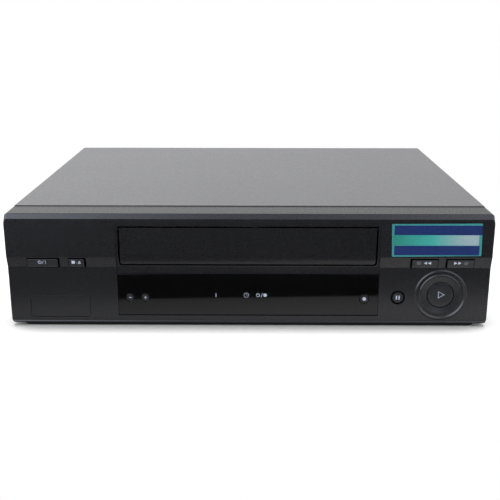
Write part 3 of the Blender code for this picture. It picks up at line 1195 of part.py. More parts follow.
def gear_outline(teeth, phase):
    """A spur gear's outline about the origin: straight-sided teeth with wide backlash."""
    pitch_radius = CAM_MODULE * teeth / 2
    tip = pitch_radius + CAM_MODULE * TOOTH_TIP_HEIGHT_SHARE
    root = pitch_radius - CAM_MODULE * TOOTH_ROOT_DEPTH_SHARE
    step = FULL_TURN / teeth
    corners = ((root, -TOOTH_ROOT_SHARE), (tip, -TOOTH_TIP_SHARE), (tip, TOOTH_TIP_SHARE),
               (root, TOOTH_ROOT_SHARE))
    return [(radius * math.cos(phase + step * (tooth + share)),
             radius * math.sin(phase + step * (tooth + share)))
            for tooth in range(teeth) for radius, share in corners]


def gear(name, centre, teeth, phase):
    wheel = prism(name, gear_outline(teeth, phase), "Z", 0, GEAR_HEIGHT)
    wheel.location += place(centre[0], centre[1], GEAR_Z[0])
    return wheel


def loading_gears():
    """The cam gear and its pinion. At rest a cam tooth points at a gap of the pinion."""
    cam = gear("cam", (CAM_X, CAM_BACK), CAM_TEETH, math.pi)
    hub_z = (GEAR_Z[1] - JOIN_OVERLAP, GEAR_Z[1] + CAM_HUB_HEIGHT)
    join(cam, upright("cam_hub", (CAM_X, CAM_BACK), hub_z, CAM_HUB_RADIUS, ROUND_SIDES))
    cut(cam, upright("cam_bore", (CAM_X, CAM_BACK), (0, HEIGHT), PINCH_POST_RADIUS + RUNNING_GAP))
    finish(cam, "cam_gear", WHITE_ACETAL, place(CAM_X, CAM_BACK, GEAR_Z[0]))
    pinion = gear("pinion", (PINION_X, CAM_BACK), PINION_TEETH, math.pi / PINION_TEETH)
    shaft_top = motor_plate_z()[0] - SEAT_GAP
    join(pinion,
         upright("pinion_shaft", (PINION_X, CAM_BACK), (GEAR_Z[1] - JOIN_OVERLAP, shaft_top), SHAFT_RADIUS))
    finish(pinion, "loading_pinion", WHITE_ACETAL, place(PINION_X, CAM_BACK, GEAR_Z[0]))


def motor_plate_z():
    bottom = GEAR_Z[1] + CAM_HUB_HEIGHT + CUT_OVERRUN
    return (bottom, bottom + MOTOR_PLATE)


def loading_motor():
    plate_z = motor_plate_z()
    spread = MOTOR_LEG_SPREAD + MOTOR_LEG_RADIUS
    edge = PINION_X + MOTOR_LEG_RADIUS
    left, right = PINION_X - MOTOR_LEG_RADIUS, PINION_X + LOADING_MOTOR_RADIUS
    plate = box("motor_plate", (left, right), around(CAM_BACK, spread * 2), plate_z)
    can = upright("motor_can", (edge, CAM_BACK),
                  (plate_z[1] - JOIN_OVERLAP, plate_z[1] + LOADING_MOTOR_HEIGHT),
                  LOADING_MOTOR_RADIUS, ROUND_SIDES)
    join(plate, can)
    for side in (-1, 1):
        spot = (left + MOTOR_LEG_RADIUS, CAM_BACK + side * MOTOR_LEG_SPREAD)
        join(plate, upright(f"motor_leg_{side}", spot, (DECK_TOP + SEAT_GAP, plate_z[1] - JOIN_OVERLAP),
                            MOTOR_LEG_RADIUS))
    return finish(plate, "loading_motor", ZINC_STEEL)


def mirrored(side, inner, outer):
    return sorted((side * inner, side * outer))


def cassette_brackets():
    """Upright side plates on the deck; the holder's pins travel in their windows."""
    pins = PIN_BACKS
    hole_back = (pins[0] - WINDOW_SLACK, pins[1] + LOAD_TRAVEL + WINDOW_SLACK)
    hole_z = (PIN_Z - LIFT_TRAVEL - WINDOW_SLACK, PIN_Z + WINDOW_SLACK)
    for side, name in ((-1, "cassette_bracket_left"), (1, "cassette_bracket_right")):
        base = DECK_TOP + SEAT_GAP
        half_sheet = BRACKET_SHEET / 2
        plate = box(name, mirrored(side, BRACKET_IN, BRACKET_IN + BRACKET_SHEET), (HOLDER_FRONT, BRACKET_END),
                    (base + half_sheet, BRACKET_TOP))
        flange = box(name + "_flange", mirrored(side, BRACKET_IN + half_sheet, BRACKET_IN + BRACKET_FLANGE),
                     (HOLDER_FRONT + BRACKET_WEB, BRACKET_END - BRACKET_WEB), (base, base + BRACKET_SHEET))
        window = box(name + "_window", mirrored(side, BRACKET_IN - CUT_OVERRUN, BRACKET_IN + BRACKET_FLANGE),
                     hole_back, hole_z)
        finish(cut(join(plate, flange), window), name, ZINC_STEEL)


def carriage_slider():
    """The slider draws the holder in: a cross bar on the brackets, with a slotted plate at each side."""
    backs = around(PIN_BACKS[1], SLIDER_LENGTH)
    bar_z = (BRACKET_TOP + SEAT_GAP, BRACKET_TOP + SEAT_GAP + SLIDER_BAR_HEIGHT)
    bar = box("slider_bar", both_ways(BRACKET_IN + BRACKET_SHEET), backs, bar_z)
    slot_half = HOLDER_PIN_RADIUS + RUNNING_GAP
    for side in (-1, 1):
        plate = box(f"slider_plate_{side}", mirrored(side, SLIDER_IN, SLIDER_IN + SLIDER_SHEET), backs,
                    (PIN_Z - LIFT_TRAVEL - SLIDER_LENGTH / 2, bar_z[1] - JOIN_OVERLAP))
        join(bar, plate)
    for side in (-1, 1):
        slot = box(f"slider_slot_{side}",
                   mirrored(side, SLIDER_IN - SLIDER_SHEET, SLIDER_IN + SLIDER_SHEET * 2),
                   around(PIN_BACKS[1], slot_half * 2), (PIN_Z - LIFT_TRAVEL - slot_half, PIN_Z + slot_half))
        cut(bar, slot)
    return finish(bar, "carriage_slider", ZINC_STEEL)


def cassette_holder():
    """The basket that takes the cassette: side walls, bottom rails, a top bridge and two pins a side."""
    backs = (HOLDER_FRONT, HOLDER_FRONT + HOLDER_LENGTH)
    wall_z = (CASSETTE_BOTTOM - HOLDER_SHEET, HOLDER_TOP + HOLDER_SHEET)
    inner = HOLDER_HALF - HOLDER_SHEET
    bridge_backs = (backs[1] - HOLDER_BRIDGE, backs[1])
    bridge = box("holder_bridge", both_ways(HOLDER_HALF), bridge_backs,
                 (HOLDER_TOP, HOLDER_TOP + HOLDER_SHEET))
    for side in (-1, 1):
        wall = box(f"holder_wall_{side}", mirrored(side, inner, HOLDER_HALF), backs, wall_z)
        rail = box(f"holder_rail_{side}", mirrored(side, HOLDER_HALF - HOLDER_RAIL, HOLDER_HALF), backs,
                   (wall_z[0], wall_z[0] + HOLDER_SHEET))
        join(bridge, wall, rail)
        for index, back in enumerate(PIN_BACKS):
            reach = BRACKET_IN + BRACKET_SHEET + RUNNING_GAP
            pin = rod(f"holder_pin_{side}_{index}", place(side * (inner + reach) / 2, back, PIN_Z),
                      HOLDER_PIN_RADIUS, reach - inner - JOIN_OVERLAP, "X")
            join(bridge, pin)
    return finish(bridge, "cassette_holder", ZINC_STEEL)


def build():
    front_panel()
    blanking_cap()
    front_sticker()
    cassette_door()
    display_window()
    for name, (left, width) in KEYS.items():
        key_button(name, left, width)
    for name, (x, z, radius, front) in ROUND_BUTTONS.items():
        round_button(name, x, z, radius, front)
    top_cover()
    cover_screws()
    bottom_chassis()
    bottom_cover()
    feet()
    rear_panel()
    scart_sockets()
    audio_video_jacks()
    mains_inlet()
    tuner()
    main_board()
    power_supply()
    key_board()
    display_tube()
    deck_plate()
    reel("supply_reel", -REEL_SPACING / 2)
    reel("take_up_reel", REEL_SPACING / 2)
    video_drum()
    capstan()
    pinch_roller_and_arms()
    tape_head("control_head", HEAD_BLOCK_X)
    tape_head("erase_head", ERASE_HEAD_X)
    tape_guide("tape_guide_left", -1)
    tape_guide("tape_guide_right", 1)
    loading_gears()
    loading_motor()
    cassette_brackets()
    carriage_slider()
    cassette_holder()


build()
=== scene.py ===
# Looks of a VHS video cassette recorder with a front slot: a satin grey steel cover, a black moulded
# front, a smoked window, push buttons and a foil sticker. Sizes are in millimetres, but for the studio's,
# which are in metres.
import json
import math

import bpy
from mathutils import Matrix, Vector


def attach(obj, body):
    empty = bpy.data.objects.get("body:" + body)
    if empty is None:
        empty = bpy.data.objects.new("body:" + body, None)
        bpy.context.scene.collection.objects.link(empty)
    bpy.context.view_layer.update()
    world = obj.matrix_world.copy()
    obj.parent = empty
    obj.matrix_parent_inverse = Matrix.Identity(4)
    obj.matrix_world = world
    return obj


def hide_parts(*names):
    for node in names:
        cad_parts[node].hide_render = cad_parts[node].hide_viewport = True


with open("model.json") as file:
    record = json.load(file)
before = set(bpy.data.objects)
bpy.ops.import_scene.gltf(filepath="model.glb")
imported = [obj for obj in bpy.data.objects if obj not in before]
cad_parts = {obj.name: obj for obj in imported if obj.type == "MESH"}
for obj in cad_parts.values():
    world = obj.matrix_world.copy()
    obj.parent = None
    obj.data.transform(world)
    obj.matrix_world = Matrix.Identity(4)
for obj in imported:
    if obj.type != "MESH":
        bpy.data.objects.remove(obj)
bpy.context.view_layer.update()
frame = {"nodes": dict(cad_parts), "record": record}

MM = 0.001
UPRIGHT = {"X": (0, math.pi / 2, 0), "Y": (-math.pi / 2, 0, 0), "Z": (0, 0, 0)}
SHARP_ANGLE, SMOOTH_ANGLE = math.radians(30), math.radians(35)


# Modelling: the steps, most of them Blender's own operators

def rest_hands():
    """Leaves edit mode and selects nothing."""
    if bpy.context.object and bpy.context.object.mode != "OBJECT":
        bpy.ops.object.mode_set(mode="OBJECT")
    bpy.ops.object.select_all(action="DESELECT")


def hold(piece):
    """Makes a piece the only one selected."""
    rest_hands()
    bpy.context.view_layer.objects.active = piece
    piece.select_set(True)


def set_down(name):
    """Names the new primitive and applies its place, so that its object sits at the origin."""
    piece = bpy.context.object
    piece.name = piece.data.name = name
    bpy.ops.object.transform_apply(location=True, rotation=True, scale=True)
    return piece


def block(name, x, y, z):
    """A block between two places along each axis."""
    rest_hands()
    spans = (x, y, z)
    bpy.ops.mesh.primitive_cube_add(size=1, location=[sum(span) / 2 * MM for span in spans],
                                    scale=[(span[1] - span[0]) * MM for span in spans])
    return set_down(name)


def disc(name, centre, radius, length, axis="Y", sides=48):
    """A round bar with its middle at a place and its length along an axis."""
    rest_hands()
    bpy.ops.mesh.primitive_cone_add(vertices=sides, radius1=radius * MM, radius2=radius * MM,
                                    depth=length * MM, location=[c * MM for c in centre],
                                    rotation=UPRIGHT[axis])
    return set_down(name)


def pick(piece, kind, test):
    """Selects the faces, edges or points that pass a test, whose places are in millimetres."""
    hold(piece)
    mesh = piece.data
    for parts in (mesh.vertices, mesh.edges, mesh.polygons):
        parts.foreach_set("select", [False] * len(parts))
    if kind == "FACE":
        for face in mesh.polygons:
            face.select = bool(test(face.center / MM, face.normal))
    elif kind == "EDGE":
        for edge in mesh.edges:
            start, end = (mesh.vertices[index].co / MM for index in edge.vertices)
            edge.select = bool(test(start, end))
    else:
        for point in mesh.vertices:
            point.select = bool(test(point.co / MM))
    bpy.context.tool_settings.mesh_select_mode = (kind == "VERT", kind == "EDGE", kind == "FACE")
    bpy.ops.object.mode_set(mode="EDIT")


def move(piece, test, by):
    """Moves the points that pass a test."""
    pick(piece, "VERT", test)
    bpy.ops.transform.translate(value=[b * MM for b in by])
    rest_hands()


def round_edges(piece, test, radius, segments=4):
    """Bevels the edges that pass a test."""
    pick(piece, "EDGE", test)
    bpy.ops.mesh.bevel(offset=radius * MM, segments=segments, affect="EDGES", clamp_overlap=True)
    rest_hands()


def score(piece, place, normal, test=lambda c, n: True):
    """Cuts new edges where a plane meets the faces that pass a test."""
    pick(piece, "FACE", test)
    bpy.ops.mesh.bisect(plane_co=[c * MM for c in place], plane_no=normal)
    rest_hands()


def open_up(piece, test):
    """Takes out the faces that pass a test."""
    pick(piece, "FACE", test)
    bpy.ops.mesh.delete(type="FACE")
    rest_hands()


def modify(piece, kind, **settings):
    """Adds a modifier to a piece and applies it."""
    hold(piece)
    modifier = piece.modifiers.new(kind.title(), kind)
    for name, value in settings.items():
        setattr(modifier, name, value)
    bpy.ops.object.modifier_apply(modifier=modifier.name)
    return piece


def carve(piece, *cutters, operation="DIFFERENCE"):
    """Takes the cutters' shapes out of a piece, or adds them, and throws the cutters away."""
    for cutter in cutters:
        modify(piece, "BOOLEAN", object=cutter, operation=operation, solver="EXACT")
        bpy.data.objects.remove(cutter)
    return piece


def unite(name, pieces):
    """Joins loose pieces into one object."""
    rest_hands()
    for piece in pieces:
        piece.select_set(True)
    bpy.context.view_layer.objects.active = pieces[0]
    if len(pieces) > 1:
        bpy.ops.object.join()
    joined = bpy.context.object
    joined.name = joined.data.name = name
    return joined


def lathe(name, profile, centre, axis, steps=96):
    """Turns a profile of (radius, height along the axis) into a closed round body."""
    rest_hands()
    mesh = bpy.data.meshes.new(name)
    points = [(radius * MM, 0, height * MM) for radius, height in profile]
    mesh.from_pydata(points, [(i, i + 1) for i in range(len(points) - 1)], [])
    piece = bpy.data.objects.new(name, mesh)
    bpy.context.scene.collection.objects.link(piece)
    pick(piece, "VERT", lambda p: True)
    bpy.ops.mesh.spin(steps=steps, angle=2 * math.pi, center=(0, 0, 0), axis=(0, 0, 1))
    bpy.ops.mesh.select_all(action="SELECT")
    bpy.ops.mesh.remove_doubles(threshold=0.00001)
    bpy.ops.mesh.normals_make_consistent(inside=False)
    rest_hands()
    hold(piece)
    piece.rotation_euler = UPRIGHT[axis]
    piece.location = Vector(centre) * MM
    bpy.ops.object.transform_apply(location=True, rotation=True, scale=True)
    return piece


def finish_piece(piece, body, materials, replaced, edge, segments=2):
    """Softens the edges, smooths, paints, and says what the piece rides on and stands for."""
    piece.data.materials.clear()
    for material in materials:
        piece.data.materials.append(material)
    if edge:
        modify(piece, "BEVEL", width=edge * MM, segments=segments, limit_method="ANGLE",
               angle_limit=SHARP_ANGLE, use_clamp_overlap=True, miter_outer="MITER_ARC")
    hold(piece)
    bpy.ops.object.shade_smooth_by_angle(angle=SMOOTH_ANGLE)
    modify(piece, "WEIGHTED_NORMAL", keep_sharp=True, weight=100)
    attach(piece, body)
    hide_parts(*replaced)
    return piece


# Materials

def linear(hex_colour):
    """An sRGB hex colour as the linear numbers that Blender's shaders take."""
    values = [int(hex_colour[i:i + 2], 16) / 255 for i in (1, 3, 5)]
    return [v / 12.92 if v <= 0.04045 else ((v + 0.055) / 1.055) ** 2.4 for v in values] + [1]


def add(tree, kind, inputs=None, **settings):
    """Adds a node, with its settings, and with a value or a link for each input that is given."""
    node = tree.nodes.new("ShaderNode" + kind)
    for name, value in settings.items():
        setattr(node, name, value)
    for name, value in (inputs or {}).items():
        socket = node.inputs[name]
        if isinstance(value, bpy.types.NodeSocket):
            tree.links.new(value, socket)
        else:
            socket.default_value = value
    return node


def surface(name, **constants):
    """A new material with its Principled surface, its own place on the piece, and what is constant."""
    material = bpy.data.materials.new(name)
    material.use_nodes = True
    tree = material.node_tree
    shader = next(node for node in tree.nodes if node.type == "BSDF_PRINCIPLED")
    for socket, value in constants.items():
        shader.inputs[socket.replace("_", " ")].default_value = value
    place = add(tree, "TexCoord").outputs["Object"]
    return material, tree, shader, place


def grained(name, colour, worn_colour, roughness, grain_mm, bump, patch_mm=60, spread=0.06, **constants):
    """A surface whose colour drifts in wide patches and whose gloss and height have a fine grain."""
    material, tree, shader, place = surface(name, **constants)
    grain = add(tree, "TexNoise", {"Vector": place, "Scale": 1000 / grain_mm, "Detail": 3})
    patch = add(tree, "TexNoise", {"Vector": place, "Scale": 1000 / patch_mm, "Detail": 4, "Roughness": 0.6})
    tone = add(tree, "ValToRGB", {"Fac": patch.outputs["Fac"]})
    tone.color_ramp.elements[0].position, tone.color_ramp.elements[1].position = 0.3, 0.75
    tone.color_ramp.elements[0].color, tone.color_ramp.elements[1].color = linear(colour), linear(worn_colour)
    gloss = add(tree, "MapRange", {"Value": grain.outputs["Fac"], "From Min": 0.3, "From Max": 0.7,
                                   "To Min": roughness - spread, "To Max": roughness + spread})
    height = add(tree, "Bump", {"Height": grain.outputs["Fac"], "Strength": 1.0, "Distance": bump * MM})
    tree.links.new(tone.outputs["Color"], shader.inputs["Base Color"])
    tree.links.new(gloss.outputs["Result"], shader.inputs["Roughness"])
    tree.links.new(height.outputs["Normal"], shader.inputs["Normal"])
    return material


# ABS, injection moulded in a spark-eroded tool: a dull, finely pitted black with a soft sheen. The real
# pits are 0.1 mm across and are drawn at 0.6 mm, so that they show.
moulded_abs = grained("moulded_black_abs", "#1a1a1d", "#1e1e21", 0.29, 0.6, 0.003, spread=0.04,
                      **{"IOR": 1.52, "Specular_IOR_Level": 0.5})
# The same ABS on the small keys, with a finer tool and a little more gloss from fingers.
key_abs = grained("moulded_key_abs", "#1b1c20", "#202125", 0.3, 0.5, 0.006, patch_mm=12,
                  **{"IOR": 1.52, "Specular_IOR_Level": 0.5})
# Flap of the same ABS, polished a little finer than the front.
flap_abs = grained("moulded_flap_abs", "#18181a", "#1b1b1d", 0.28, 0.6, 0.003, spread=0.04,
                   **{"IOR": 1.52, "Specular_IOR_Level": 0.5})
# Polystyrene of the base, coarser and quite dull; its colour is also darkened as painted shade, so it reads
# as the shaded dark line under the front.
base_plastic_painted_shade = grained("dull_black_polystyrene_painted_shade", "#0d0d0e", "#101011", 0.7, 0.8, 0.02,
                       **{"IOR": 1.5, "Specular_IOR_Level": 0.25})
# Satin acrylic paint on steel, sprayed and baked: an even grey with a faint orange peel of 1.5 mm.
cover_paint = grained("satin_grey_paint", "#58585a", "#5b5b5d", 0.36, 1.5, 0.012, patch_mm=90,
                      **{"IOR": 1.5, "Specular_IOR_Level": 0.5})
# Acrylic sheet tinted smoke black and polished: near black, with clear reflections.
smoked_acrylic = grained("smoked_acrylic_sheet", "#070708", "#09090a", 0.06, 8, 0.001, spread=0.02,
                         **{"IOR": 1.49})
# Pad-printed ink, a dull white film.
pad_print = grained("white_pad_print", "#bcc5d8", "#aeb7ca", 0.5, 0.4, 0.004, patch_mm=3)
# The same ink in grey, for the faint marks.
grey_print = grained("grey_pad_print", "#6f7278", "#62656b", 0.5, 0.4, 0.004, patch_mm=3)
# Zinc-plated sheet steel: bluish grey metal with large soft spangles.
zinc_steel = grained("zinc_plated_steel", "#8d9195", "#a3a6a8", 0.34, 3, 0.006, patch_mm=14,
                     **{"Metallic": 1.0})
# Turned aluminium: bright, with fine turning marks.
turned_aluminium = grained("turned_aluminium", "#b9bbbd", "#cfd0d2", 0.24, 0.8, 0.008, patch_mm=9,
                           **{"Metallic": 1.0})
# Black oxide steel of screws and cores.
black_steel = grained("black_oxide_steel", "#1c1d1f", "#28292b", 0.42, 1, 0.01, patch_mm=6,
                      **{"Metallic": 0.6})
# Natural rubber with carbon black: dull, slightly dusty.
black_rubber = grained("black_rubber", "#161616", "#242423", 0.75, 0.8, 0.03, patch_mm=7)
# Acetal, moulded: milky white with a waxy gloss.
white_acetal = grained("white_acetal", "#dfddd4", "#cfccc2", 0.35, 1.2, 0.006, patch_mm=12)
# Glass of the display tube, dark from the getter and the phosphor inside.
tube_glass = grained("display_tube_glass", "#10161a", "#182127", 0.08, 6, 0.001, spread=0.02)


def laminate_board():
    """Phenolic board, green lacquer over copper tracks, with soldered pads: green with lighter lines."""
    material, tree, shader, place = surface("green_lacquered_board", **{"IOR": 1.5, "Roughness": 0.35})
    tracks = add(tree, "TexBrick", {"Vector": place, "Scale": 1.0, "Brick Width": 12.5 * MM,
                                    "Row Height": 2.1 * MM, "Mortar Size": 0.35 * MM, "Mortar Smooth": 0.2,
                                    "Color1": linear("#1c4a2c"), "Color2": linear("#215534"),
                                    "Mortar": linear("#3f7d46")}, offset=0.37, squash=1.6)
    pads = add(tree, "TexVoronoi", {"Vector": place, "Scale": 260.0, "Randomness": 0.6})
    solder = add(tree, "MapRange", {"Value": pads.outputs["Distance"], "From Min": 0.16, "From Max": 0.2,
                                    "To Min": 1.0, "To Max": 0.0})
    colour = add(tree, "Mix", {0: solder.outputs["Result"], 6: tracks.outputs["Color"],
                               7: linear("#a9aaa6")}, data_type="RGBA")
    height = add(tree, "Bump", {"Height": solder.outputs["Result"], "Distance": 0.2 * MM})
    tree.links.new(colour.outputs[2], shader.inputs["Base Color"])
    tree.links.new(height.outputs["Normal"], shader.inputs["Normal"])
    return material


def front_foil():
    """Printed metallised film: a teal border, two dark blue bars, and teal that fades to silver grain."""
    material, tree, shader, place = surface("printed_metallised_film", **{"IOR": 1.5, "Roughness": 0.3})
    spots = add(tree, "SeparateXYZ", {"Vector": place})
    # The middle stripe and the two dark bars: from left to right, and from bottom to top
    stripe = ((117.6, 187.6), (71.9, 80.6))
    dark_bars = (((118.4, 191), (80.6, 88.7)), ((118.9, 188.6), (63.5, 71.6)))
    # Grain of the metallised film, 0.9 mm, that shows through the clear inks.
    sparkle = add(tree, "TexVoronoi", {"Vector": place, "Scale": 1100.0})
    fade = add(tree, "MapRange", {"Value": spots.outputs["X"], "From Min": 150 * MM, "From Max": 178 * MM})
    teal = add(tree, "Mix", {0: add(tree, "MapRange", {"Value": spots.outputs["X"], "From Min": 118 * MM,
                                                       "From Max": 150 * MM}).outputs["Result"],
                             6: linear("#178475"), 7: linear("#2fa39d")}, data_type="RGBA")
    middle = add(tree, "Mix", {0: fade.outputs["Result"], 6: teal.outputs[2], 7: linear("#93aab1")},
                 data_type="RGBA")

    def inside(axis, low, high):
        """One where a place lies between two bounds along an axis, else nought."""
        above = add(tree, "Math", {0: spots.outputs[axis], 1: low * MM}, operation="GREATER_THAN")
        below = add(tree, "Math", {0: spots.outputs[axis], 1: high * MM}, operation="LESS_THAN")
        return add(tree, "Math", {0: above.outputs[0], 1: below.outputs[0]}, operation="MULTIPLY").outputs[0]

    def bar(x, z):
        """One inside a printed bar, else nought."""
        return add(tree, "Math", {0: inside("X", *x), 1: inside("Z", *z)}, operation="MULTIPLY").outputs[0]

    colour = add(tree, "Mix", {0: bar(*stripe), 6: linear("#2f8a8c"), 7: middle.outputs[2]}, data_type="RGBA")
    for x, z in dark_bars:
        colour = add(tree, "Mix", {0: bar(x, z), 6: colour.outputs[2], 7: linear("#052666")},
                     data_type="RGBA")
    flecks = add(tree, "Mix", {0: 0.12, 6: colour.outputs[2], 7: sparkle.outputs["Color"]},
                 data_type="RGBA", blend_type="SOFT_LIGHT")
    tree.links.new(flecks.outputs[2], shader.inputs["Base Color"])
    shine = add(tree, "MapRange", {"Value": sparkle.outputs["Distance"], "To Min": 0.22, "To Max": 0.5})
    tree.links.new(shine.outputs["Result"], shader.inputs["Roughness"])
    return material


circuit_board = laminate_board()
printed_foil = front_foil()

# Front panel: one moulded shell. The sloping band lies between an upper and a lower flat face. A pair
# gives the two ends along an axis, or the place across and the height of a round button's middle.
FACE = -166.0
LOWER_FACE = FACE + 2.75
LEDGE_Y = FACE + 3
HALF_WIDTH, PANEL_DEPTH, WALL = 200, 29, 2.5
PANEL_BACK = FACE + PANEL_DEPTH
PANEL_BOTTOM, BAND_LOW, BAND_HIGH, FACE_TOP, LEDGE = 3.1, 51.7, 61.6, 93.6, 97.4
BAND_SLOPE = (LOWER_FACE - FACE) / (BAND_HIGH - BAND_LOW)
COLUMN_X, COLUMN_Z = (-110.2, 108.2), (45.7, 89.2)
SLOT_X, SLOT_Z = (-107.6, 105.8), (53.0, 87.2)
FLAP_X, FLAP_Z = (-106.2, 104.4), (54.5, 85.9)
POCKET_X, POCKET_Z = (-109.65, 108.45), (9.1, 46)
PANE_X, PANE_Z = (-109.35, 108.15), (9.9, 45.4)
OPENING_X, OPENING_Z = (-107.35, 106.15), (11.4, 43.7)
CAP_X, CAP_Z, CAP_SEAM = (-183.3, -132.9), (7.6, 26.7), 0.25
STICKER_X, STICKER_Z = (116.7, 190), (62.6, 90)
LEFT_KEYS = {"power": (-183.3, -157.9), "stop_eject": (-149.0, -136.1)}
RIGHT_KEYS = {"rewind": (134.6, 156.0), "fast_forward": (163.7, 185.4)}
KEY_LOW, KEY_HIGH, KEY_PROUD = 51.4, 59.0, 0.6
PLAY = (160.1, 27.8)
PAUSE = (124.5, 25.6)
PLAY_RADIUS, PAUSE_RADIUS, CHANNEL_RADIUS, RECORD_RADIUS = 10.9, 4.6, 3.2, 3.6
CHANNEL_DOWN, CHANNEL_UP, RECORD = (-99.35, 25.15), (-86.55, 25.15), (96.55, 24.35)


def face_y(z):
    """Where the front of the panel lies at a height."""
    return LOWER_FACE - BAND_SLOPE * min(max(z - BAND_LOW, 0), BAND_HIGH - BAND_LOW)


def banded_block(name, x, front_y, z):
    """A block cut where the band begins and ends; front_y is how far its front and back lie from the face."""
    piece = block(name, x, (FACE + front_y[0], FACE + front_y[1]), z)
    for height in (BAND_LOW, BAND_HIGH):
        if z[0] < height < z[1]:
            score(piece, (0, 0, height), (0, 0, 1))
    return piece


def front_shell():
    panel = banded_block("front_panel", (-HALF_WIDTH, HALF_WIDTH), (0, PANEL_DEPTH), (PANEL_BOTTOM, LEDGE))
    score(panel, (0, LEDGE_Y, 0), (0, 1, 0), lambda c, n: n.z > 0.9)
    move(panel, lambda p: p.y < FACE + 0.1 and p.z < BAND_LOW + 0.1, (0, LOWER_FACE - FACE, 0))
    move(panel, lambda p: p.y < FACE + 0.1 and p.z > LEDGE - 0.1, (0, 0, FACE_TOP - LEDGE))

    def at_side(a, b):
        return min(abs(a.x), abs(b.x)) > HALF_WIDTH - 0.1 and a.x * b.x > 0

    def shoulder(a, b):
        top = a.z > FACE_TOP - 0.1 and b.z > FACE_TOP - 0.1
        foot = a.z < PANEL_BOTTOM + 0.1 and b.z < PANEL_BOTTOM + 0.1
        return at_side(a, b) and abs(a.y - b.y) > 0.1 and (top or foot)

    def corner(a, b):
        front = a.y < LOWER_FACE + 0.1 and b.y < LOWER_FACE + 0.1
        return front and abs(a.z - b.z) > 1 and at_side(a, b)

    round_edges(panel, shoulder, 3, 6)
    round_edges(panel, corner, 0.7, 4)
    # A fine lip along the foot, whose upper side catches the light
    for height in (1.5, 0.8):
        score(panel, (0, 0, PANEL_BOTTOM + height), (0, 0, 1), lambda c, n: n.y < -0.5 and c.z < BAND_LOW)
    move(panel, lambda p: p.y < LOWER_FACE + 0.1 and p.z < PANEL_BOTTOM + 0.9, (0, -0.7, 0))

    def long_ridge(height, y):
        return lambda a, b: (abs(a.x - b.x) > 300 and abs(a.z - height) < 0.1 and abs(b.z - height) < 0.1
                             and abs(a.y - y) < 0.1)

    for height, y, radius in ((LEDGE, LEDGE_Y, 0.6), (FACE_TOP, FACE, 0.7), (BAND_HIGH, FACE, 0.5),
                              (BAND_LOW, LOWER_FACE, 0.5)):
        round_edges(panel, long_ridge(height, y), radius, 3)
    hollow = banded_block("hollow", (WALL - HALF_WIDTH, HALF_WIDTH - WALL), (WALL, 40),
                          (PANEL_BOTTOM + WALL, LEDGE - WALL))
    score(hollow, (0, LEDGE_Y + WALL, 0), (0, 1, 0))
    move(hollow, lambda p: p.y < FACE + WALL + 0.1 and p.z < BAND_LOW + 0.1, (0, LOWER_FACE - FACE, 0))
    move(hollow, lambda p: p.y < FACE + WALL + 0.1 and p.z > FACE_TOP, (0, 0, FACE_TOP - LEDGE))
    carve(panel, hollow)
    carve(panel, block("tongue", (-194, 194), (PANEL_BACK - 1.2, PANEL_BACK + 7), (95.4, 96.9)),
          operation="UNION")

    # The middle column is sunk a little: a rim round the slot, and a strip over the window.
    column = banded_block("column", COLUMN_X, (-3, 0.8), COLUMN_Z)
    move(column, lambda p: p.y > FACE and p.z < BAND_LOW + 0.1, (0, LOWER_FACE - FACE, 0))
    round_edges(column, lambda a, b: abs(a.z - b.z) > 1 and a.y > FACE and b.y > FACE, 0.7, 2)
    slot = block("slot", SLOT_X, (FACE - 3, PANEL_BACK + 9), SLOT_Z)
    round_edges(slot, lambda a, b: abs(a.y - b.y) > 9 and a.z < 54, 2.2, 5)
    pocket = block("pocket", POCKET_X, (FACE - 3, LOWER_FACE + 1.9), POCKET_Z)
    opening = block("opening", OPENING_X, (FACE - 3, PANEL_BACK + 9), OPENING_Z)
    carve(panel, column, slot, pocket, opening)

    # Rosette round the play button: a raised ring, a channel, and a disc that dips to the button.
    rosette = lathe("rosette", [(11.4, 3.6), (11.4, 0.8), (15.8, 0.0), (16.6, -0.25), (17.3, -0.2),
                                (18.1, 0.35), (19.4, 0.4), (20.0, -0.1), (20.6, -0.55), (21.1, -0.6),
                                (21.8, -0.2), (22.4, 0.3), (22.4, 3.6), (11.4, 3.6)],
                    (PLAY[0], LOWER_FACE, PLAY[1]), "Y")
    bore = disc("bore", (PLAY[0], LOWER_FACE, PLAY[1]), 21.7, 20, sides=96)
    carve(panel, bore)
    carve(panel, rosette, operation="UNION")
    carve(panel, disc("recess", (PAUSE[0], LOWER_FACE + 2, PAUSE[1]), 6.1, 12, sides=64))

    for keys, gaps in ((LEFT_KEYS, (0.35, 1.6)), (RIGHT_KEYS, (1.6, 0.35))):
        for name, (left, right) in keys.items():
            gap = block(name + "_gap", (left - gaps[0], right + gaps[1]), (FACE - 3, FACE + 12),
                        (KEY_LOW - 0.35, KEY_HIGH + 1.3))
            inner = right + gaps[1] if keys is LEFT_KEYS else left - gaps[0]
            round_edges(gap, lambda a, b: abs(a.y - b.y) > 9 and a.z < 55 and abs(a.x - inner) < 0.1, 2.2, 4)
            carve(panel, gap)
    cap = block("cap_pocket", CAP_X, (FACE - 3, LOWER_FACE + 1.8), CAP_Z)
    round_edges(cap, lambda a, b: abs(a.y - b.y) > 3, 2.4, 5)
    carve(panel, cap)
    return finish_piece(panel, "chassis", [moulded_abs], ["front_panel"], edge=0.35)


def blanking_cap():
    """Cap over the unused sockets, flush with the front, with a fine seam all round."""
    cap = block("blanking_cap", (CAP_X[0] + CAP_SEAM, CAP_X[1] - CAP_SEAM), (LOWER_FACE, LOWER_FACE + 1.5),
                (CAP_Z[0] + CAP_SEAM, CAP_Z[1] - CAP_SEAM))
    round_edges(cap, lambda a, b: abs(a.y - b.y) > 1, 2.2, 5)
    return finish_piece(cap, "chassis", [moulded_abs], ["blanking_cap"], edge=0.3)


# Marks: plain symbols in a thin film of ink, 0.05 mm, on the face of a button or of the window

INK = 0.05


def ink_bar(x, z):
    return block("ink", x, (-INK, INK), z)


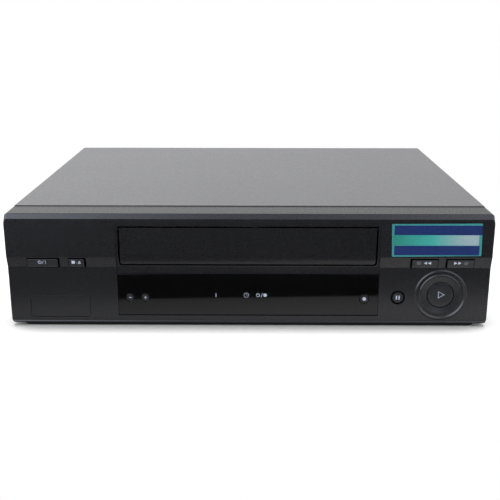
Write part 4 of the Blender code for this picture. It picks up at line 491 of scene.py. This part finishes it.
def ink_ring(x, z, radius, line):
    inner = radius - line
    profile = [(inner, -INK), (radius, -INK), (radius, INK), (inner, INK), (inner, -INK)]
    return lathe("ink", profile, (x, 0, z), "Y", 32)


def ink_dot(x, z, radius):
    return disc("ink", (x, 0, z), radius, 2 * INK, sides=32)


def ink_arrow(x, z, height, turn):
    """A solid triangle: turn is where it points, in quarter turns from right, by way of up."""
    arrow = disc("ink", (0, 0, 0), height / math.sqrt(3), 2 * INK, "Z", 3)
    aim = Matrix.Rotation(math.radians(90 * (turn - 1)), 4, "Z")
    upright = Matrix.Rotation(math.pi / 2, 4, "X")
    arrow.data.transform(Matrix.Translation(Vector((x, 0, z)) * MM) @ upright @ aim)
    return arrow


def ink_slash(x, z, height):
    slash = block("ink", (x - 0.18, x + 0.18), (-INK, INK), (z - height / 2, z + height / 2))
    move(slash, lambda p: p.z > z, (0.9, 0, 0))
    return slash


def ink_standby(x, z, radius):
    """The sign for standby: a ring with a stroke through its top."""
    ring = ink_ring(x, z, radius, 0.42)
    carve(ring, block("break", (x - 0.6, x + 0.6), (-1, 1), (z + 0.4, z + 3)))
    return [ring, ink_bar((x - 0.2, x + 0.2), (z + 0.3, z + radius + 0.5))]


def lean_back(pieces, z):
    """Tilts marks on to the sloping face of a key, about a line at a height."""
    group = unite("ink", pieces)
    pivot = Vector((0, face_y(z) - KEY_PROUD, z)) * MM
    turn = Matrix.Rotation(math.atan(BAND_SLOPE), 4, "X")
    group.data.transform(Matrix.Translation(pivot) @ turn)
    return group


def printed(button, white, grey=None):
    """A button joined with its marks, and the paint of each face: 0 plastic, 1 white ink, 2 grey ink."""
    parts = [button, white] + ([grey] if grey else [])
    kinds = [kind for kind, part in enumerate(parts) for _ in part.data.polygons]
    return unite(button.name, parts), kinds


def stamp(piece, kinds):
    """Gives each face its paint again, after the materials are set."""
    for face, kind in zip(piece.data.polygons, kinds):
        face.material_index = kind
    return piece


def push_key(name, left, right, white_marks, grey_marks=()):
    """A flat key in the sloping band, with rounded edges and its marks."""
    key = block(name, (left, right), (FACE - 4, FACE + 6.25), (KEY_LOW, KEY_HIGH))
    for side in (KEY_LOW, KEY_HIGH):
        level = face_y(side) - KEY_PROUD
        move(key, lambda p: p.y < FACE - 3 and abs(p.z - side) < 0.1, (0, level - (FACE - 4), 0))
    inner = right if left < 0 else left
    round_edges(key, lambda a, b: abs(a.y - b.y) > 5 and a.z < 55 and abs(a.x - inner) < 0.1, 2, 4)
    stem = disc(name + "_stem", ((left + right) / 2, FACE + 8.5, (KEY_LOW + KEY_HIGH) / 2), 1.6, 5, sides=24)
    carve(key, stem, operation="UNION")
    modify(key, "BEVEL", width=0.6 * MM, segments=3, limit_method="ANGLE", angle_limit=SHARP_ANGLE)
    white = lean_back(list(white_marks), 56.3)
    grey = lean_back(list(grey_marks), 56.3) if grey_marks else None
    whole, kinds = printed(key, white, grey)
    body = name.replace("_button", "_key")
    finish_piece(whole, body, [key_abs, pad_print, grey_print], [name], edge=0)
    return stamp(whole, kinds)


def round_button(name, x, z, radius, front, white_marks, edge=0.5, hollow=0.0):
    """A round button turned about its middle, with a rounded rim and a slightly hollowed face."""
    stem, back, end = 1.6, LOWER_FACE + 3.5 - front, FACE + 11.3 - front
    profile = [(0, hollow), (radius * 0.55, hollow * 0.6), (radius - edge - 0.15, 0),
               (radius - edge * 0.3, edge * 0.3), (radius, edge), (radius, back), (stem, back),
               (stem, end), (0, end)]
    button = lathe(name, profile, (x, front, z), "Y", 72)
    white = unite("ink", list(white_marks))
    white.data.transform(Matrix.Translation(Vector((0, front + hollow * 0.6, 0)) * MM))
    whole, kinds = printed(button, white)
    body = name.replace("_button", "_key")
    finish_piece(whole, body, [key_abs, pad_print, grey_print], [name], edge=0)
    return stamp(whole, kinds)


def push_buttons():
    level = 0.1  # The marks' middle, over the line that they are tilted about
    push_key("power_button", *LEFT_KEYS["power"], ink_standby(-172.7, level, 1.55)
             + [ink_slash(-170.6, level, 3.4), ink_bar((-168.2, -167.8), (level - 1.7, level + 1.7))])
    push_key("stop_eject_button", *LEFT_KEYS["stop_eject"],
             [ink_bar((-146.4, -143.7), (level - 1.35, level + 1.35)),
              ink_arrow(-139.95, level + 0.3, 2.1, 1),
              ink_bar((-141.2, -138.7), (level - 1.35, level - 0.75))],
             [ink_bar((-142.55, -142.25), (level - 1.4, level + 1.4))])
    push_key("rewind_button", *RIGHT_KEYS["rewind"],
             [ink_arrow(145.8, level, 3, 2), ink_arrow(149.2, level, 3, 2)],
             [ink_ring(139.9, level, 1.6, 0.4), ink_bar((139.3, 140.5), (level - 0.5, level + 0.5))])
    push_key("fast_forward_button", *RIGHT_KEYS["fast_forward"],
             [ink_arrow(169.9, level, 3, 0), ink_arrow(173.3, level, 3, 0)],
             [ink_ring(179.0, level, 1.6, 0.4), ink_bar((178.7, 179.3), (level - 0.7, level + 0.7))])
    outline = carve(ink_arrow(*PLAY, 6.2, 0), arrow_core())
    round_button("play_button", *PLAY, PLAY_RADIUS, LOWER_FACE + 0.6, [outline], edge=0.8, hollow=0.35)
    x, z = PAUSE
    bars = [ink_bar((x + side - 0.5, x + side + 0.5), (z - 1.75, z + 1.75)) for side in (-1.1, 1.1)]
    round_button("pause_button", *PAUSE, PAUSE_RADIUS, FACE + 2.5, bars, edge=0.6, hollow=0.2)
    x, z = CHANNEL_DOWN
    minus = [ink_bar((x - 1.1, x + 1.1), (z - 0.25, z + 0.25))]
    x, z = CHANNEL_UP
    plus = [ink_bar((x - 1.1, x + 1.1), (z - 0.25, z + 0.25)),
            ink_bar((x - 0.25, x + 0.25), (z - 1.1, z + 1.1))]
    front = FACE + 2.25
    round_button("channel_down_button", *CHANNEL_DOWN, CHANNEL_RADIUS, front, minus, hollow=0.3)
    round_button("channel_up_button", *CHANNEL_UP, CHANNEL_RADIUS, front, plus, hollow=0.3)
    round_button("record_button", *RECORD, RECORD_RADIUS, front, [ink_dot(*RECORD, 1.55)], hollow=0.4)


def arrow_core():
    """What is taken out of the play arrow, so that its outline is left."""
    return modify(ink_arrow(*PLAY, 4.3, 0), "SOLIDIFY", thickness=1 * MM, offset=0)


def cassette_flap():
    """The flap: a flat plate that bends back with the band, two fine lines and its hinge pins."""
    low = FLAP_Z[0]
    flap = banded_block("cassette_door", FLAP_X, (0.6, 2.8), FLAP_Z)
    back = (LOWER_FACE - FACE) * (BAND_HIGH - low) / (BAND_HIGH - BAND_LOW)
    move(flap, lambda p: p.z < low + 0.1, (0, back, 0))
    round_edges(flap, lambda a, b: abs(a.y - b.y) > 1 and a.z < low + 0.2 and b.z < low + 0.2
                and abs(a.x - b.x) < 0.1, 1.9, 5)
    for x in (-101.3, 99.9):
        carve(flap, block("line", (x - 0.3, x + 0.3), (FACE - 1, FACE + 0.9), (64, 82)))
    pins = disc("pins", (-0.9, FACE + 3.8, 84.25), 0.8, 219.5, "X", 24)
    rib = block("rib", (-104.9, 103.1), (FACE + 2.3, FACE + 4.8), (82.15, 85.65))
    carve(flap, pins, rib, operation="UNION")
    return finish_piece(flap, "door", [flap_abs], ["cassette_door"], edge=0.35, segments=3)


def window():
    """Smoked acrylic window over the display, with its printed marks."""
    pane = block("display_window", PANE_X, (LOWER_FACE, LOWER_FACE + 1.6), PANE_Z)
    for (x, z), radius in ((CHANNEL_DOWN, 3.55), (CHANNEL_UP, 3.55), (RECORD, 4.1)):
        carve(pane, disc("hole", (x, LOWER_FACE, z), radius, 6, sides=48))
    modify(pane, "BEVEL", width=0.3 * MM, segments=2, limit_method="ANGLE", angle_limit=SHARP_ANGLE)
    front, level = LOWER_FACE, 27.4
    clock = [ink_ring(-2.2, level, 2.1, 0.3), ink_bar((-2.3, -2.1), (level - 0.1, level + 1.2)),
             ink_bar((-2.3, -1.2), (level - 0.1, level + 0.1))]
    white = unite("ink", clock + ink_standby(7.6, level, 1.6)
                  + [ink_bar((-27.75, -27.3), (level - 1.7, level + 1.7)), ink_slash(10.4, level, 3.6),
                     ink_dot(13.5, level, 1.5)])
    white.data.transform(Matrix.Translation(Vector((0, front, 0)) * MM))
    whole, kinds = printed(pane, white)
    finish_piece(whole, "chassis", [smoked_acrylic, pad_print, grey_print],
                 ["display_window"], edge=0)
    return stamp(whole, kinds)


def foil_sticker():
    """A foil sticker a little askew on the right of the front, its corners slightly rounded."""
    label = block("front_sticker", STICKER_X, (FACE - 0.3, FACE - 0.03), STICKER_Z)
    middle_x, middle_z = sum(STICKER_X) / 2, sum(STICKER_Z) / 2
    # How far each corner is off the square, by whether it is low and whether it is at the right
    askew = {(True, False): (0.6, 0, -0.5), (True, True): (0.5, 0, 0.4),
             (False, False): (-0.5, 0, -0.1), (False, True): (-0.3, 0, 0.4)}
    for corner, by in askew.items():
        move(label, lambda p: (p.z < middle_z, p.x > middle_x) == corner, by)
    round_edges(label, lambda a, b: abs(a.y - b.y) > 0.1, 0.5, 3)
    return finish_piece(label, "chassis", [printed_foil], ["front_sticker"], edge=0.04)


def steel_cover():
    """The cover: one sheet bent down over both sides, with holes for its screws."""
    cover = block("top_cover", (-198.8, 198.8), (-136.8, 159), (8, 98))
    round_edges(cover, lambda a, b: abs(a.y - b.y) > 200 and a.z > 97, 1.5, 6)
    open_up(cover, lambda c, n: abs(n.y) > 0.9 or n.z < -0.9)
    modify(cover, "SOLIDIFY", thickness=0.8 * MM, offset=-1)
    for side in (-1, 1):
        for y in (-70, 123):
            carve(cover, disc("screw_hole", (side * 198.4, y, 24), 1.8, 4, "X", 24))
    return finish_piece(cover, "chassis", [cover_paint], ["top_cover"], edge=0.2)


def base_tray():
    """The moulded bottom cover, with rounded corners and pockets for the feet."""
    base = block("bottom_cover", (-190.4, 190.4), (-161.8, 154.7), (0.1, 4.6))
    round_edges(base, lambda a, b: abs(a.z - b.z) > 1, 6, 8)
    round_edges(base, lambda a, b: a.z < 0.2 and b.z < 0.2, 0.5, 3)
    carve(base, block("step", (-192, 192), (-163, -136.4), (2.9, 6)))
    carve(base, block("underside", (-175, 175), (-150, 140), (-1, 0.6)))
    for y in (-118, 110.9):
        for x in (-156.4, 156.4):
            carve(base, disc("foot_pocket", (x, y, 1), 10.3, 4.4, "Z", 48))
    return finish_piece(base, "chassis", [base_plastic_painted_shade], ["bottom_cover"], edge=0.2)


front_shell()
blanking_cap()
push_buttons()
cassette_flap()
window()
foil_sticker()
steel_cover()
base_tray()

# Paints of the CAD pieces that keep their own shapes
PAINTS = {"black_abs": moulded_abs, "painted_steel": cover_paint, "smoked_acrylic": smoked_acrylic,
          "zinc_steel": zinc_steel, "turned_aluminium": turned_aluminium, "circuit_board": circuit_board,
          "black_rubber": black_rubber, "white_acetal": white_acetal, "tube_glass": tube_glass,
          "printed_foil": printed_foil, "black_steel": black_steel}
for entry in frame["record"]["materials"]:
    for node_name in entry.get("nodes", []):
        mesh = frame["nodes"][node_name].data
        mesh.materials.clear()
        mesh.materials.append(PAINTS[entry["slot"]])


# Studio, in metres: a white paper floor and backdrop, a soft box overhead and one at either hand, and a
# room behind the camera that is dark at eye level.

PAPER_SIZE, PAPER_SHIFT = 12, 3  # The paper runs from behind the camera to far behind the machine.
LENS, SENSOR = 59.207, 36
EYE = (0.004611, -0.812322, 0.258681)
YAW, PITCH, ROLL = -0.32741, 16.4712, 0.0488


def studio_floor():
    rest_hands()
    bpy.ops.mesh.primitive_plane_add(size=PAPER_SIZE, location=(0, PAPER_SHIFT, 0))
    floor = bpy.context.object
    floor.name = "studio_floor"
    material = bpy.data.materials.new("white_paper")
    material.use_nodes = True
    tree = material.node_tree
    tree.nodes.clear()
    path = add(tree, "LightPath")
    place = add(tree, "SeparateXYZ", {"Vector": add(tree, "TexCoord").outputs["Object"]})
    lit = add(tree, "BsdfDiffuse", {"Color": (0.9, 0.9, 0.9, 1)})
    glow = add(tree, "Emission", {"Color": (1, 1, 1, 1), "Strength": 0.02})
    paper = add(tree, "AddShader", {0: lit.outputs[0], 1: glow.outputs[0]})
    depth = add(tree, "Math", {0: place.outputs["Y"], 1: PAPER_SHIFT}, operation="ADD")
    # Painted reflection: to glossy rays the paper glows, fading from the machine outwards and ending at an
    # edge that runs a little askew, with a painted shadow that darkens it right under the machine.
    reach = add(tree, "Math", {0: place.outputs["X"], 1: 0.045, 2: depth.outputs[0]},
                operation="MULTIPLY_ADD")
    painted_reflection_fade = add(tree, "MapRange", {"Value": reach.outputs[0], "From Min": -0.235, "From Max": -0.2,
                                    "To Min": 0.42, "To Max": 0.62})
    # Painted contact shadow: the mirrored paper is darkened right under the machine.
    painted_contact_shadow = add(tree, "MapRange", {"Value": depth.outputs[0], "From Min": -0.178, "From Max": -0.166,
                                     "To Min": 1.0, "To Max": 0.15})
    sideways = add(tree, "MapRange", {"Value": place.outputs["X"], "From Min": -0.2, "From Max": 0.2,
                                      "To Min": 0.85, "To Max": 1.3})
    bright = add(tree, "Math", {0: painted_reflection_fade.outputs[0], 1: painted_contact_shadow.outputs[0]}, operation="MULTIPLY")
    painted_reflection_strength = add(tree, "Math", {0: bright.outputs[0], 1: sideways.outputs[0]}, operation="MULTIPLY")
    edge = add(tree, "MapRange", {"Value": reach.outputs[0], "From Min": -0.236, "From Max": -0.231})
    near = add(tree, "Mix", {0: edge.outputs[0], 2: 0.012, 3: painted_reflection_strength.outputs[0]})
    mirrored = add(tree, "Emission", {"Strength": near.outputs[0]})
    # Beyond the machine's soft shadow the paper is plain white to the camera.
    away = add(tree, "VectorMath", {0: add(tree, "TexCoord").outputs["Object"], 1: (0, -PAPER_SHIFT, 0)},
               operation="DISTANCE")
    beyond = add(tree, "MapRange", {"Value": away.outputs["Value"], "From Min": 0.27, "From Max": 0.4})
    whiteness = add(tree, "Math", {0: beyond.outputs[0], 1: path.outputs["Is Camera Ray"]},
                    operation="MULTIPLY")
    white = add(tree, "Emission", {"Strength": 1.0})
    shown = add(tree, "MixShader", {0: whiteness.outputs[0], 1: paper.outputs[0], 2: white.outputs[0]})
    surface_mix = add(tree, "MixShader", {0: path.outputs["Is Glossy Ray"], 1: shown.outputs[0],
                                          2: mirrored.outputs[0]})
    add(tree, "OutputMaterial", {"Surface": surface_mix.outputs[0]})
    floor.data.materials.append(material)


def studio_room():
    world = bpy.data.worlds.new("studio")
    bpy.context.scene.world = world
    world.use_nodes = True
    tree = world.node_tree
    tree.nodes.clear()
    path = add(tree, "LightPath")
    way = add(tree, "SeparateXYZ", {"Vector": add(tree, "TexCoord").outputs["Generated"]})
    # Backdrop behind the machine: dimmer upwards and towards the right
    rise = add(tree, "MapRange", {"Value": way.outputs["Z"], "From Min": 0.16, "From Max": 0.42,
                                  "To Min": 1.0, "To Max": 0.5})
    across = add(tree, "MapRange", {"Value": way.outputs["X"], "From Min": -0.3, "From Max": 0.3,
                                    "To Min": 1.16, "To Max": 0.84})
    backdrop = add(tree, "Math", {0: rise.outputs[0], 1: across.outputs[0]}, operation="MULTIPLY")
    # Room on the camera's side: dark at eye level, lit ceiling above, a soft box at either hand
    ceiling = add(tree, "MapRange", {"Value": way.outputs["Z"], "From Min": 0.25, "From Max": 0.6,
                                     "To Min": 0.1, "To Max": 0.4})
    left = add(tree, "MapRange", {"Value": way.outputs["X"], "From Min": -0.30, "From Max": -0.1,
                                  "To Min": 3.4, "To Max": 0.0})
    right = add(tree, "MapRange", {"Value": way.outputs["X"], "From Min": 0.08, "From Max": 0.3,
                                   "To Min": 0.0, "To Max": 1.5})
    boxes = add(tree, "Math", {0: left.outputs[0], 1: right.outputs[0]}, operation="ADD")
    room = add(tree, "Math", {0: boxes.outputs[0], 1: ceiling.outputs[0]}, operation="ADD")
    behind = add(tree, "MapRange", {"Value": way.outputs["Y"], "From Min": -0.2, "From Max": 0.3})
    lit = add(tree, "Mix", {0: behind.outputs[0], 2: room.outputs[0], 3: backdrop.outputs[0]})
    mirrored = add(tree, "Mix", {0: path.outputs["Is Glossy Ray"], 2: 0.45, 3: lit.outputs[0]})
    seen = add(tree, "Mix", {0: path.outputs["Is Camera Ray"], 2: mirrored.outputs[0], 3: 1.0})
    # Daylight on the camera's side is cooler than the lamps behind.
    tint = add(tree, "Mix", {0: behind.outputs[0], 6: (0.9, 0.96, 1.1, 1), 7: (1, 1, 1, 1)}, data_type="RGBA")
    colour = add(tree, "Mix", {0: path.outputs["Is Glossy Ray"], 6: (1, 1, 1, 1), 7: tint.outputs[2]},
                 data_type="RGBA")
    glow = add(tree, "Background", {"Color": colour.outputs[2], "Strength": seen.outputs[0]})
    add(tree, "OutputWorld", {"Surface": glow.outputs[0]})


def soft_box(name, place, target, size, watts):
    lamp = bpy.data.lights.new(name, "AREA")
    lamp.energy, lamp.shape, lamp.size, lamp.size_y = watts, "RECTANGLE", size[0], size[1]
    holder = bpy.data.objects.new(name, lamp)
    holder.location = place
    holder.rotation_euler = (Vector(target) - Vector(place)).to_track_quat("-Z", "Y").to_euler()
    holder.visible_glossy = False
    bpy.context.scene.collection.objects.link(holder)


def camera():
    """The photograph's camera: 59 mm lens, above the front, tilted 16.5 degrees down."""
    yaw, pitch, roll = (math.radians(angle) for angle in (YAW, PITCH, ROLL))
    forward = Vector((math.sin(yaw) * math.cos(pitch), math.cos(yaw) * math.cos(pitch), -math.sin(pitch)))
    level = Vector((math.cos(yaw), -math.sin(yaw), 0))
    rise = level.cross(forward)
    right = math.cos(roll) * level + math.sin(roll) * rise
    up = math.cos(roll) * rise - math.sin(roll) * level
    lens = bpy.data.cameras.new("camera")
    lens.lens, lens.sensor_width = LENS, SENSOR
    eye = bpy.data.objects.new("camera", lens)
    eye.matrix_world = Matrix.Translation(EYE) @ Matrix((right, up, -forward)).transposed().to_4x4()
    bpy.context.scene.collection.objects.link(eye)
    bpy.context.scene.camera = eye


studio_floor()
studio_room()
soft_box("overhead_box", (0.0, 0.1, 1.6), (0, 0.1, 0), (1.8, 0.5), 38)
soft_box("left_box", (-1.4, -0.5, 0.9), (0, 0, 0.05), (1.0, 1.0), 6)
soft_box("right_box", (1.4, -0.5, 0.9), (0, 0, 0.05), (1.0, 1.0), 5)
camera()
bpy.context.scene.view_settings.view_transform = "Standard"
